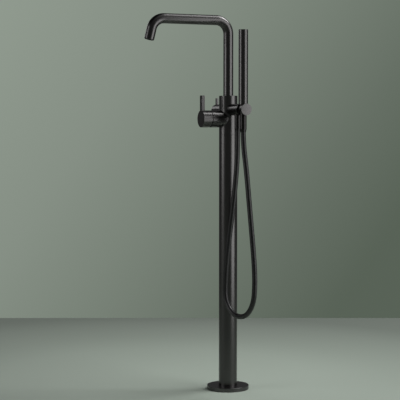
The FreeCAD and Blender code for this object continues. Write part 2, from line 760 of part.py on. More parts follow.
def hose_cone_nut():
    """The nut on the hose's upper end, which hangs in the holder under the hand shower."""
    stub_r = STUB_DIA / 2 + SEAT_GAP
    shelf = handset_base - STUB_LENGTH - WASHER_THICK
    profile = [
        (hose_bore_r, CONE_NUT_BOTTOM),
        (hose_r + 0.4, CONE_NUT_BOTTOM),
        (nut_r, CONE_NUT_BOTTOM + CONE_NUT_TAPER),
        (nut_r, handset_base),
        (stub_r, handset_base),
        (stub_r, shelf),
        (hose_bore_r, shelf),
    ]
    return spun(profile, 0, -HANDSET_AT)


def handset_washer():
    """The rubber washer between the stub and the nut."""
    low = handset_base - STUB_LENGTH - WASHER_THICK
    return pipe(STUB_DIA / 2, hose_bore_r, V(0, -HANDSET_AT, low), UP, WASHER_THICK)


# ---------------------------------------------------------------- diverter
def diverter_cartridge():
    """The diverter valve in the body, with the neck that carries its sleeve."""
    core = rod(diverter_core_r, on_diverter(-DIVERTER_CORE_BACK), TOWARDS_DIVERTER,
               DIVERTER_CORE_BACK + DIVERTER_FACE)
    flange_r = diverter_r - DIVERTER_WALL - SEAT_GAP
    core = core.fuse(rod(flange_r, on_diverter(DIVERTER_FACE), TOWARDS_DIVERTER, DIVERTER_FLANGE))
    neck_length = DIVERTER_NECK_END - DIVERTER_FACE
    core = core.fuse(rod(DIVERTER_NECK_DIA / 2, on_diverter(DIVERTER_FACE), TOWARDS_DIVERTER, neck_length))
    bore_start = DIVERTER_NECK_END - SPINDLE_TAIL
    core = core.cut(rod(spindle_r + RUN_GAP, on_diverter(bore_start), TOWARDS_DIVERTER, SPINDLE_TAIL))
    port = rod(waterway_r, V(0, 0, ARM_Z - diverter_core_r), UP, DIVERTER_CORE_DIA)
    side_port = rod(waterway_r, on_diverter(-DIVERTER_CORE_BACK), TOWARDS_DIVERTER, DIVERTER_CORE_BACK)
    return core.cut(port).cut(side_port).removeSplitter()


def diverter_sleeve():
    """The fixed sleeve around the diverter's neck, shaped to the column."""
    bore_r = diverter_r - DIVERTER_WALL
    sleeve = rod(diverter_r, on_diverter(0), TOWARDS_DIVERTER, DIVERTER_SLEEVE_END)
    web_at = DIVERTER_NECK_END - DIVERTER_WEB
    sleeve = sleeve.cut(rod(bore_r, on_diverter(0), TOWARDS_DIVERTER, web_at))
    sleeve = sleeve.cut(rod(bore_r, on_diverter(DIVERTER_NECK_END), TOWARDS_DIVERTER, DIVERTER_SLEEVE_END))
    neck_hole_r = DIVERTER_NECK_DIA / 2 + SEAT_GAP
    sleeve = sleeve.cut(rod(neck_hole_r, on_diverter(0), TOWARDS_DIVERTER, DIVERTER_SLEEVE_END))
    sleeve = sleeve.cut(upright(column_r + SEAT_GAP, 0, 0, ARM_Z - 2 * diverter_r, ARM_Z + 2 * diverter_r))
    return max(sleeve.Solids, key=lambda solid: solid.Volume)


def diverter_spindle():
    """The spindle that turns the diverter valve."""
    start = DIVERTER_NECK_END - SPINDLE_TAIL + 1.0
    end = knob_block_at + SPINDLE_SEAT
    return rod(spindle_r, on_diverter(start), TOWARDS_DIVERTER, end - start)


def diverter_tenon(gap):
    """The tongue under the diverter's blade, with a gap all round for its pocket."""
    middle = DIVERTER_END - DIVERTER_BLADE_WIDTH / 2
    half_x = DIVERTER_BLADE_THICK * TENON_SHARE / 2 + gap
    half_y = DIVERTER_BLADE_WIDTH * TENON_SHARE / 2 + gap
    low = ARM_Z + diverter_r - DIVERTER_TENON - gap
    return block(-half_x, half_x, middle - half_y, middle + half_y, low, ARM_Z + diverter_r + CUT_PAST)


def diverter_knob():
    """The turning knob behind the column."""
    knob = rod(diverter_r, on_diverter(knob_at), TOWARDS_DIVERTER, DIVERTER_END - knob_at)
    knob = rounded(knob, CAP_EDGE, circles_at(on_diverter(DIVERTER_END), TOWARDS_DIVERTER, diverter_r))
    bore_r = diverter_r - DIVERTER_WALL
    knob = knob.cut(rod(bore_r, on_diverter(knob_at), TOWARDS_DIVERTER, knob_block_at - knob_at))
    knob = knob.cut(rod(spindle_r + SEAT_GAP, on_diverter(knob_block_at), TOWARDS_DIVERTER, SPINDLE_SEAT))
    screw_at = knob_block_at + SPINDLE_SEAT / 2
    hole_r = DIVERTER_SCREW_DIA / 2 + SEAT_GAP
    low = -diverter_r - CUT_PAST
    knob = knob.cut(rod(hole_r, on_diverter(screw_at, 0, low), UP, -low))
    return knob.cut(diverter_tenon(2 * SEAT_GAP))


def diverter_set_screw():
    """The grub screw that clamps the knob on its spindle, from below."""
    start_z = -spindle_r - SEAT_GAP - DIVERTER_SCREW_LENGTH
    start = on_diverter(knob_block_at + SPINDLE_SEAT / 2, 0, start_z)
    return rod(DIVERTER_SCREW_DIA / 2, start, UP, DIVERTER_SCREW_LENGTH)


def diverter_blade():
    """The short bar on the knob, flush with its end."""
    half = DIVERTER_BLADE_THICK / 2
    front = DIVERTER_END - DIVERTER_BLADE_WIDTH
    blade = block(-half, half, front, DIVERTER_END, ARM_Z, DIVERTER_BLADE_TOP)
    outer = [e for e in blade.Edges if e.BoundBox.ZMax > DIVERTER_BLADE_TOP - 1e-6]
    blade = blade.makeFillet(BLADE_ROUND, outer)
    start = on_diverter(front - CUT_PAST)
    length = DIVERTER_BLADE_WIDTH + 2 * CUT_PAST
    blade = blade.cut(rod(diverter_r + SEAT_GAP, start, TOWARDS_DIVERTER, length))
    return blade.fuse(diverter_tenon(0.0)).removeSplitter()


# ---------------------------------------------------------------- spout
lean = math.radians(LEG_LEAN_DEG)
leg_direction = V(-math.sin(lean), 0, -math.cos(lean))
outlet_z = RUN_Z - OUTLET_DROP
outlet_point = V(-SPOUT_REACH, 0, outlet_z)
bend_turn = math.pi / 2 - lean
second_bend_end_z = RUN_Z - BEND_RADIUS * (1 - math.cos(bend_turn))
leg_length = (second_bend_end_z - outlet_z) / math.cos(lean)
second_bend_x = -SPOUT_REACH + leg_length * math.sin(lean) + BEND_RADIUS * math.sin(bend_turn)


def arc(centre, radius, from_angle, to_angle):
    """An arc in the XZ plane through its middle point."""
    def at(angle):
        return centre + V(math.cos(angle), 0, math.sin(angle)) * radius
    return Part.Arc(at(from_angle), at((from_angle + to_angle) / 2), at(to_angle)).toShape()


def spout_line():
    """The spout's centreline: riser, bend, run, bend and leg."""
    first = V(-BEND_RADIUS, 0, RUN_Z - BEND_RADIUS)
    second = V(second_bend_x, 0, RUN_Z - BEND_RADIUS)
    riser = Part.LineSegment(V(0, 0, tube_foot), V(0, 0, RUN_Z - BEND_RADIUS)).toShape()
    bend_one = arc(first, BEND_RADIUS, 0.0, math.pi / 2)
    run = Part.LineSegment(V(-BEND_RADIUS, 0, RUN_Z), V(second_bend_x, 0, RUN_Z)).toShape()
    bend_two = arc(second, BEND_RADIUS, math.pi / 2, math.pi / 2 + bend_turn)
    leg_start = outlet_point - leg_direction * leg_length
    leg = Part.LineSegment(leg_start, outlet_point).toShape()
    return Part.Wire([riser, bend_one, run, bend_two, leg])


def along(line, radius, start, direction):
    """A solid round section carried along a line."""
    ring = Part.Wire([Part.makeCircle(radius, start, direction)])
    return line.makePipeShell([ring], True, True)


def spout_tube():
    """The bent tube of the spout."""
    line = spout_line()
    foot = V(0, 0, tube_foot)
    return along(line, spout_r, foot, UP).cut(along(line, spout_bore_r, foot, UP))


ring_low = spout_foot + RING_LIFT
ring_high = ring_low + RING_GROOVE + RING_SPACING
lock_z = ring_high + RING_GROOVE + LOCK_SPACING + LOCK_SCREW_DIA / 2


def lock_screw_rod(radius, end):
    """A cylinder on the spout's lock screw, from its groove outwards at the back."""
    start = spout_r - LOCK_GROOVE + BODY_GAP
    return rod(radius, V(start, 0, lock_z), V(1, 0, 0), end - start)


def spout_spigot():
    """The turned foot of the spout, with grooves for two rings and the lock screw."""
    spigot = upright(spout_r, 0, 0, spout_foot, tube_foot)
    spigot = spigot.fuse(upright(spout_bore_r - SEAT_GAP, 0, 0, tube_foot, tube_foot + SPIGOT_HIGH))
    for low in (ring_low, ring_high):
        spigot = spigot.cut(pipe(spout_r + CUT_PAST, spout_r - RING_SECTION, V(0, 0, low), UP, RING_GROOVE))
    half = LOCK_SCREW_DIA / 2 + BODY_GAP
    groove = pipe(spout_r + CUT_PAST, spout_r - LOCK_GROOVE, V(0, 0, lock_z - half), UP, 2 * half)
    bore = upright(SPIGOT_BORE / 2, 0, 0, spout_foot, tube_foot + SPIGOT_HIGH)
    return spigot.cut(groove).cut(bore)


def spout_rings():
    """The two rubber rings that seal the spout's foot."""
    section = RING_SECTION - BODY_GAP
    rings = []
    for low in (ring_low, ring_high):
        middle = low + RING_GROOVE / 2
        rings.append(Part.makeTorus(spout_r - RING_SECTION + section / 2, section / 2, V(0, 0, middle), UP))
    return Part.makeCompound(rings)


def swivel_bush():
    """The plastic bush at the top of the body that the spout turns in."""
    low = BODY_TOP - BUSH_HEIGHT
    return pipe(spout_r + BUSH_WALL, spout_r + RUN_GAP, V(0, 0, low), UP, BUSH_HEIGHT - 0.3)


def spout_lock_screw():
    """The grub screw that keeps the spout's foot in the body."""
    return lock_screw_rod(LOCK_SCREW_DIA / 2, column_r - 0.6)


def aerator_housing():
    """The ring screwed into the spout's end."""
    start = outlet_point - leg_direction * AERATOR_THREAD
    housing = rod(spout_bore_r - SEAT_GAP, start, leg_direction, AERATOR_THREAD)
    housing = housing.fuse(rod(spout_r - AERATOR_LIP_INSET, outlet_point, leg_direction, AERATOR_LIP))
    return housing.cut(rod(AERATOR_BORE / 2, start, leg_direction, AERATOR_THREAD + AERATOR_LIP))


def aerator_insert():
    """The pierced disc in the aerator, set back from its lip."""
    start = outlet_point - leg_direction * (AERATOR_INSERT + AERATOR_SET_BACK)
    disc = rod(AERATOR_BORE / 2 - SEAT_GAP, start, leg_direction, AERATOR_INSERT)
    across = V(0, 1, 0).cross(leg_direction)
    for radius, count in zip(AERATOR_RING_RADII, AERATOR_RING_COUNTS):
        for index in range(count):
            angle = 2 * math.pi * index / count
            offset = V(0, 1, 0) * (radius * math.cos(angle)) + across * (radius * math.sin(angle))
            disc = disc.cut(rod(AERATOR_HOLE / 2, start + offset, leg_direction, AERATOR_INSERT))
    return disc


# ---------------------------------------------------------------- hose
def hose_line():
    """Straight runs joined by tangent arcs through the route's points."""
    first = V(0, -OUTLET_AT, OUTLET_SLEEVE_BOTTOM)
    last = V(0, -HANDSET_AT, CONE_NUT_BOTTOM - HOSE_END_GAP)
    points = [first] + [V(*point) for point in HOSE_BENDS] + [last]
    edges = []
    at = first
    radii = []
    for before, corner, after in zip(points, points[1:], points[2:]):
        into = corner - before
        out = after - corner
        half_turn = into.getAngle(out) / 2
        cut = HOSE_ARC_SHARE * min(into.Length, out.Length)
        radii.append(cut / math.tan(half_turn))
        into.normalize()
        out.normalize()
        start = corner - into * cut
        end = corner + out * cut
        inward = out - into
        inward.normalize()
        depth = radii[-1] / math.cos(half_turn) - radii[-1]
        edges.append(Part.LineSegment(at, start).toShape())
        edges.append(Part.Arc(start, corner + inward * depth, end).toShape())
        at = end
    edges.append(Part.LineSegment(at, last).toShape())
    return Part.Wire(edges), radii


def shower_hose():
    """The hose that hangs between the arm and the hand shower."""
    line, radii = hose_line()
    start = V(0, -OUTLET_AT, OUTLET_SLEEVE_BOTTOM)
    hose = along(line, hose_r, start, line.Edges[0].tangentAt(line.Edges[0].FirstParameter))
    print("hose length %.1f, volume / (section x length) %.4f, valid %s" % (
        line.Length, hose.Volume / (math.pi * hose_r ** 2 * line.Length), hose.isValid()))
    print("hose radii", " ".join("%.0f" % radius for radius in radii))
    return hose


# ---------------------------------------------------------------- all nodes
NODES = {
    "mounting_plate": mounting_plate,
    "flange_cover": flange_cover,
    "flange_seal_ring": flange_seal_ring,
    "column_spigot": column_spigot,
    "column_clamp_screws": column_clamp_screws,
    "column_tube": column_tube,
    "hot_inlet_coupling": lambda: inlet_coupling(-1),
    "cold_inlet_coupling": lambda: inlet_coupling(1),
    "hot_supply_pipe": lambda: supply_pipe(-1),
    "cold_supply_pipe": lambda: supply_pipe(1),
    "mixer_body": mixer_body,
    "lever_sleeve": lever_sleeve,
    "cartridge_body": cartridge_body,
    "cartridge_seals": cartridge_seals,
    "cartridge_nut": cartridge_nut,
    "cartridge_turret": cartridge_turret,
    "turret_pin": turret_pin,
    "lever_stem": lever_stem,
    "lever_cap": lever_cap,
    "lever_blade": lever_blade,
    "lever_set_screw": lever_set_screw,
    "arm_nipple": arm_nipple,
    "outlet_arm": outlet_arm,
    "non_return_valve": non_return_valve,
    "hose_outlet_washer": hose_outlet_washer,
    "hose_outlet_sleeve": hose_outlet_sleeve,
    "handset_holder": handset_holder,
    "holder_liner": holder_liner,
    "handset_tube": handset_tube,
    "handset_top_plug": handset_top_plug,
    "handset_core": handset_core,
    "spray_plate": spray_plate,
    "spray_nozzles": spray_nozzles,
    "handset_end_fitting": handset_end_fitting,
    "hose_cone_nut": hose_cone_nut,
    "handset_washer": handset_washer,
    "diverter_cartridge": diverter_cartridge,
    "diverter_sleeve": diverter_sleeve,
    "diverter_spindle": diverter_spindle,
    "diverter_knob": diverter_knob,
    "diverter_set_screw": diverter_set_screw,
    "diverter_blade": diverter_blade,
    "spout_tube": spout_tube,
    "spout_spigot": spout_spigot,
    "spout_rings": spout_rings,
    "swivel_bush": swivel_bush,
    "spout_lock_screw": spout_lock_screw,
    "aerator_housing": aerator_housing,
    "aerator_insert": aerator_insert,
    "shower_hose": shower_hose,
}

for name, make in NODES.items():
    save(name, make())
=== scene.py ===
"""Visual model of a floor standing bath filler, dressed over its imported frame.

Lengths are metres, +Z is up and the origin is on the floor at the column's centre.  The spout
and the mixer lever point along -X at rest, the hand shower's arm along -Y and the diverter
knob along +Y.  Each sub-assembly is a class: it holds its sizes, models its pieces with the
operators that one would use by hand, and gives them their finishes.
"""

from __future__ import annotations

import json
import logging
import math
from dataclasses import dataclass
from enum import Enum
from typing import ClassVar, Sequence

import bpy
from mathutils import Matrix, Vector

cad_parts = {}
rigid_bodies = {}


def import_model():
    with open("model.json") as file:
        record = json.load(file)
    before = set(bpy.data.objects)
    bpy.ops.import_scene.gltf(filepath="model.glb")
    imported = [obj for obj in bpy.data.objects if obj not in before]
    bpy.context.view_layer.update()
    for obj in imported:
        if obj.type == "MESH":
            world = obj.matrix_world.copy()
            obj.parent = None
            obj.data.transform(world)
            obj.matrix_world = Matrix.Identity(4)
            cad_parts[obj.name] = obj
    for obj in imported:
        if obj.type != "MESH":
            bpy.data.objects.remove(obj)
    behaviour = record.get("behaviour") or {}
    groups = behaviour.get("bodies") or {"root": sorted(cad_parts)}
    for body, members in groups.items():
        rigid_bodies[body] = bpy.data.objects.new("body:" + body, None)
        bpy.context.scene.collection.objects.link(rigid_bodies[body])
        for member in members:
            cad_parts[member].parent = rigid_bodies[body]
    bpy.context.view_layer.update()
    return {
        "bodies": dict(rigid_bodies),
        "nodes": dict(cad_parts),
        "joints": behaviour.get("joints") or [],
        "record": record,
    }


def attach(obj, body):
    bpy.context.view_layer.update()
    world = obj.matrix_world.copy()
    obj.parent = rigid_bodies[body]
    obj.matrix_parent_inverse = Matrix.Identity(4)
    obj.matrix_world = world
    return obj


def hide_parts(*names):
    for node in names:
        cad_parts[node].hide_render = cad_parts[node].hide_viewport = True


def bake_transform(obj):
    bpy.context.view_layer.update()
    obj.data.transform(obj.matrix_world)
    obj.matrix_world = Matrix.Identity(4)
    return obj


log = logging.getLogger("bath_filler")

Point = tuple[float, float, float]
Outline = list[tuple[float, float]]
Tones = tuple[tuple[float, Point], ...]
Piece = bpy.types.Object
Tree = bpy.types.NodeTree
Node = bpy.types.Node
Socket = bpy.types.NodeSocket

# how many faces go round a turned piece
DISC_STEPS = 160
ROUND_STEPS = 128
SLIM_STEPS = 96
SCREW_STEPS = 32
NOZZLE_STEPS = 12
CUTTER_STEPS = 256

# how sharp an edge stays smooth in degrees, the eased edges' widths, and a rim's middle point
SMOOTH_ANGLE = 32.0
CHAMFER = 0.0002
EDGE = 0.0005
EDGE_SHARE = 0.3

# where the barrels start inside the column, and the cutter that fits them to it
BARREL_START = 0.002
COPE_RADIUS = 0.02505

# the finishes' grain
GRAIN_DETAIL = 3.0
GRAIN_LOW = 0.3
GRAIN_HIGH = 0.7
CLOUD_SCALE = 9.0
CLOUD_DETAIL = 2.0
BUMP_STRENGTH = 0.4

# the sockets of a colour Mix node
MIX_SHARE = 0
MIX_FIRST = 6
MIX_SECOND = 7
MIX_RESULT = 2

CAMERA_SIDE_DEGREES = 24.07


class Body(Enum):
    """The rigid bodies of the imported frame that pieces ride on."""

    STAND = "stand"
    SPOUT = "spout"
    LEVER = "lever"
    DIVERTER = "diverter"
    HANDSET = "handset"


class Slot(Enum):
    """The record's material slots, passed along with the new pieces but not set on them."""

    COATED_METAL = "coated_metal"
    STEEL = "steel"
    RUBBER = "black_rubber"
    DARK_PLASTIC = "dark_plastic"
    HOSE = "hose_skin"


class Way(Enum):
    """The directions that the sub-assemblies point in."""

    UP = (0.0, 0.0, 1.0)
    SPOUT = (-1.0, 0.0, 0.0)
    BACK = (1.0, 0.0, 0.0)
    HOLDER = (0.0, -1.0, 0.0)
    DIVERTER = (0.0, 1.0, 0.0)


class Cut(Enum):
    """What a cutter leaves of a piece."""

    REST = "DIFFERENCE"
    SHARED = "INTERSECT"


def add_node(
    tree: Tree, kind: str, inputs: dict[str | int, object] | None = None, **settings: str
) -> Node:
    """Add a shader node with its settings and constant inputs.

    Args:
        tree: The nodes to add it to.
        kind: The node's type, after "ShaderNode".
        inputs: The values of its input sockets.
        settings: The node's own options.

    Returns:
        The new node.
    """
    node = tree.nodes.new("ShaderNode" + kind)
    for name, value in settings.items():
        setattr(node, name, value)
    for socket, value in (inputs or {}).items():
        node.inputs[socket].default_value = value
    return node


# ---------------------------------------------------------------------- finishes
@dataclass(frozen=True)
class Finish:
    """A surface with fine grain in its colour, gloss and relief.

    Attributes:
        name: The material's name.
        light: The lighter tone of the colour.
        dark: The darker tone of the colour.
        metallic: 1 for metal and 0 for anything else.
        smooth: The lowest roughness.
        rough: The highest roughness.
        grain: How many grains there are to a metre.
        stretch: How far the grain is drawn out along X, Y and Z.
        relief: The depth of the grain in metres.
    """

    name: str
    light: Point
    dark: Point
    metallic: float
    smooth: float
    rough: float
    grain: float
    stretch: Point = (1.0, 1.0, 1.0)
    relief: float = 0.000005

    def material(self) -> bpy.types.Material:
        """Build the finish once and hand it out again when it is asked for.

        Returns:
            The node material.
        """
        made = bpy.data.materials.get(self.name)
        if made is not None:
            return made
        made = bpy.data.materials.new(self.name)
        made.use_nodes = True
        tree = made.node_tree
        shader = tree.nodes["Principled BSDF"]
        shader.inputs["Metallic"].default_value = self.metallic
        self.paint(tree, shader)
        self.coat(shader)
        return made

    def paint(self, tree: Tree, shader: Node) -> None:
        """Lead the grain into colour, roughness and relief.

        Args:
            tree: The material's nodes.
            shader: The Principled shader to feed.
        """
        place = add_node(tree, "TexCoord")
        turn = add_node(tree, "Mapping", {"Scale": self.stretch})
        noise = add_node(tree, "TexNoise", {"Scale": self.grain, "Detail": GRAIN_DETAIL})
        cloud = add_node(tree, "TexNoise", {"Scale": CLOUD_SCALE, "Detail": CLOUD_DETAIL})
        colours = {MIX_FIRST: (*self.dark, 1.0), MIX_SECOND: (*self.light, 1.0)}
        tones = add_node(tree, "Mix", colours, data_type="RGBA")
        limits = {
            "From Min": GRAIN_LOW,
            "From Max": GRAIN_HIGH,
            "To Min": self.smooth,
            "To Max": self.rough,
        }
        gloss = add_node(tree, "MapRange", limits)
        bump = add_node(tree, "Bump", {"Strength": BUMP_STRENGTH, "Distance": self.relief})
        join = tree.links.new
        join(place.outputs["Object"], turn.inputs["Vector"])
        join(turn.outputs["Vector"], noise.inputs["Vector"])
        join(place.outputs["Object"], cloud.inputs["Vector"])
        join(cloud.outputs["Fac"], tones.inputs[MIX_SHARE])
        join(tones.outputs[MIX_RESULT], shader.inputs["Base Color"])
        join(noise.outputs["Fac"], gloss.inputs["Value"])
        join(gloss.outputs["Result"], shader.inputs["Roughness"])
        join(noise.outputs["Fac"], bump.inputs["Height"])
        join(bump.outputs["Normal"], shader.inputs["Normal"])

    def coat(self, shader: Node) -> None:
        """Set the constant sockets; a plain finish has none to set."""


@dataclass(frozen=True)
class Plastic(Finish):
    """Moulded plastic or rubber, with the gloss of its skin.

    Attributes:
        specular: The specular level.
    """

    specular: float = 0.5

    def coat(self, shader: Node) -> None:
        """Set the specular level on the shader's own socket."""
        shader.inputs["Specular IOR Level"].default_value = self.specular


class Finishes:
    """Every finish of the bath filler."""

    COATING = Finish(
        "satin_black_metal", (0.115, 0.112, 0.112), (0.095, 0.093, 0.093), 1.0, 0.265, 0.295, 1400.0
    )
    DISC = Finish(
        "turned_black_metal", (0.115, 0.112, 0.112), (0.1, 0.098, 0.098), 1.0, 0.28, 0.33, 1600.0
    )
    FITTING = Finish(
        "dark_satin_metal", (0.045, 0.044, 0.044), (0.036, 0.035, 0.035), 1.0, 0.26, 0.3, 1400.0
    )
    STEEL = Finish("plain_steel", (0.56, 0.56, 0.57), (0.47, 0.47, 0.48), 1.0, 0.3, 0.42, 900.0)
    SCREW = Finish("blackened_screw", (0.07, 0.07, 0.07), (0.05, 0.05, 0.05), 1.0, 0.34, 0.44, 1500.0)
    COPPER = Finish(
        "drawn_copper", (0.78, 0.45, 0.31), (0.62, 0.34, 0.23), 1.0, 0.25, 0.4, 500.0, (1, 1, 0.05)
    )
    BRASS = Finish("machined_brass", (0.74, 0.6, 0.34), (0.64, 0.5, 0.27), 1.0, 0.22, 0.34, 900.0)
    RUBBER = Plastic("soft_rubber", (0.022, 0.022, 0.022), (0.014, 0.014, 0.014), 0.0, 0.5, 0.65, 1200.0)
    LINER = Plastic("moulded_liner", (0.02, 0.02, 0.021), (0.013, 0.013, 0.014), 0.0, 0.38, 0.5, 1300.0)
    WHITE = Plastic("pale_plastic", (0.84, 0.84, 0.82), (0.76, 0.76, 0.74), 0.0, 0.35, 0.5, 900.0)
    HOSE = Plastic(
        "smooth_hose", (0.01, 0.01, 0.0105), (0.007, 0.007, 0.0075), 0.0, 0.3, 0.38, 700.0, specular=0.5
    )


# ---------------------------------------------------------------------- modelling
@dataclass(frozen=True)
class Seat:
    """Where a turned piece stands and which way its axis points.

    Attributes:
        base: A point on the axis.
        way: The axis's direction.
    """

    base: Point = (0.0, 0.0, 0.0)
    way: Point = Way.UP.value

    def matrix(self) -> Matrix:
        """The move from the origin and +Z to this seat."""
        turn = Vector(self.way).to_track_quat("Z", "Y").to_matrix().to_4x4()
        return Matrix.Translation(Vector(self.base)) @ turn


def sleeve_outline(inner: float, outer: float, low: float, high: float, edge: float = 0.0) -> Outline:
    """Half the outline of a straight sleeve, whose far outer edge may be chamfered."""
    far = [(outer, high - edge), (outer - edge, high)] if edge else [(outer, high)]
    return [(inner, low), (outer, low), *far, (inner, high), (inner, low)]


def rod_outline(radius: float, length: float) -> Outline:
    """Half the outline of a straight rod."""
    return [(0.0, 0.0), (radius, 0.0), (radius, length), (0.0, length)]


def near_rim(radius: float, low: float) -> Outline:
    """The chamfer at a seam, from the face to the side."""
    return [(radius - CHAMFER, low), (radius, low + CHAMFER)]


def far_rim(radius: float, high: float, edge: float = EDGE) -> Outline:
    """The eased rim of a closed end, from the side to the face."""
    share = EDGE_SHARE * edge
    return [(radius, high - edge), (radius - share, high - share), (radius - edge, high)]


def cup_outline(bore: float, radius: float, low: float, block: float, high: float) -> Outline:
    """Half the outline of a cap that is bored from its low end and solid from the block on."""
    hollow = [(0.0, block), (bore, block), (bore, low)]
    return [*hollow, *near_rim(radius, low), *far_rim(radius, high), (0.0, high)]


class Bench:
    """Modelling steps, each done with the operators that one uses by hand."""

    @staticmethod
    def clear() -> None:
        """Deselect everything."""
        bpy.ops.object.select_all(action="DESELECT")

    @staticmethod
    def use(piece: Piece) -> None:
        """Make one piece the selected and active object."""
        Bench.clear()
        piece.select_set(True)
        bpy.context.view_layer.objects.active = piece

    @staticmethod
    def settle(piece: Piece) -> None:
        """Apply a piece's place, so that its object sits at the origin."""
        Bench.use(piece)
        bpy.ops.object.transform_apply(location=True, rotation=True, scale=True)

    @staticmethod
    def seat(piece: Piece, seat: Seat) -> None:
        """Carry a piece from the origin to its seat and apply the move."""
        piece.matrix_world = seat.matrix()
        Bench.settle(piece)

    @staticmethod
    def turned(name: str, outline: Outline, seat: Seat, steps: int = ROUND_STEPS) -> Piece:
        """Draw half an outline point by point and spin it round its axis.

        Args:
            name: The new piece's name.
            outline: (radius, height) points; a closed outline ends where it starts, and an open
                one starts and ends on the axis.
            seat: Where the piece stands.
            steps: How many faces go round.

        Returns:
            The closed piece, in place.
        """
        Bench.clear()
        bpy.ops.mesh.primitive_plane_add(size=0.001)
        piece = bpy.context.object
        piece.name = name
        bpy.ops.object.mode_set(mode="EDIT")
        bpy.ops.mesh.select_mode(type="VERT")
        bpy.ops.mesh.select_all(action="SELECT")
        bpy.ops.mesh.merge(type="CENTER")
        bpy.ops.transform.translate(value=(outline[0][0], 0.0, outline[0][1]))
        for before, after in zip(outline, outline[1:]):
            step = (after[0] - before[0], 0.0, after[1] - before[1])
            bpy.ops.mesh.extrude_region_move(TRANSFORM_OT_translate={"value": step})
        bpy.ops.mesh.select_all(action="SELECT")
        bpy.ops.mesh.spin(steps=steps, angle=2 * math.pi, center=(0, 0, 0), axis=(0, 0, 1))
        Bench.close()
        bpy.ops.object.mode_set(mode="OBJECT")
        Bench.seat(piece, seat)
        return piece

    @staticmethod
    def close() -> None:
        """Merge doubled points and turn every face outwards, in edit mode."""
        bpy.ops.mesh.select_all(action="SELECT")
        bpy.ops.mesh.remove_doubles(threshold=0.000002)
        bpy.ops.mesh.normals_make_consistent(inside=False)

    @staticmethod
    def block(name: str, low: Point, high: Point) -> Piece:
        """Add a box between two corners.

        Args:
            name: The new piece's name.
            low: The lowest corner.
            high: The highest corner.

        Returns:
            The box, in place.
        """
        Bench.clear()
        middle = [(a + b) / 2 for a, b in zip(low, high)]
        bpy.ops.mesh.primitive_cube_add(size=1.0, location=middle)
        piece = bpy.context.object
        piece.name = name
        piece.scale = [b - a for a, b in zip(low, high)]
        Bench.settle(piece)
        return piece

    @staticmethod
    def apply(piece: Piece, modifier: bpy.types.Modifier) -> None:
        """Apply a modifier to its piece."""
        Bench.use(piece)
        bpy.ops.object.modifier_apply(modifier=modifier.name)

    @staticmethod
    def ease(piece: Piece, width: float, segments: int = 3, angle: float = 35.0) -> None:
        """Round a piece's sharp edges.

        Args:
            piece: The piece to work on.
            width: The width of the rounding.
            segments: How many faces go across it.
            angle: The sharpness in degrees from which an edge is rounded.
        """
        bevel = piece.modifiers.new("eased_edges", "BEVEL")
        bevel.width = width
        bevel.segments = segments
        bevel.limit_method = "ANGLE"
        bevel.angle_limit = math.radians(angle)
        bevel.harden_normals = False
        Bench.apply(piece, bevel)

    @staticmethod
    def carve(piece: Piece, cutter: Piece, cut: Cut = Cut.REST) -> None:
        """Cut a piece with another one's shape and clear the cutter away.

        Args:
            piece: The piece to cut.
            cutter: The shape to cut it with.
            cut: What the cutter leaves of it.
        """
        carving = piece.modifiers.new("cut", "BOOLEAN")
        carving.operation = cut.value
        carving.solver = "EXACT"
        carving.object = cutter
        Bench.apply(piece, carving)
        bpy.data.objects.remove(cutter)

    @staticmethod
    def cope(piece: Piece, low: float, height: float) -> None:
        """Cut a barrel's inner end to the column's round side.

        Args:
            piece: The barrel.
            low: Where the round cutter starts.
            height: How tall the cutter is.
        """
        outline = rod_outline(COPE_RADIUS, height)
        seat = Seat((0.0, 0.0, low))
        Bench.carve(piece, Bench.turned("cope", outline, seat, CUTTER_STEPS))

    @staticmethod
    def soften(piece: Piece, angle: float = SMOOTH_ANGLE) -> None:
        """Shade a piece smooth up to a sharpness in degrees, with its wide faces kept true."""
        Bench.use(piece)
        bpy.ops.object.shade_smooth_by_angle(angle=math.radians(angle))
        weigh = piece.modifiers.new("true_faces", "WEIGHTED_NORMAL")
        weigh.keep_sharp = True
        Bench.apply(piece, weigh)

    @staticmethod
    def join(name: str, parts: Sequence[Piece]) -> Piece:
        """Join objects into one.

        Args:
            name: The joined piece's name.
            parts: The objects to join.

        Returns:
            The joined piece.
        """
        Bench.clear()
        for part in parts:
            part.select_set(True)
        bpy.context.view_layer.objects.active = parts[0]
        bpy.ops.object.join()
        joined = bpy.context.object
        joined.name = name
        return joined


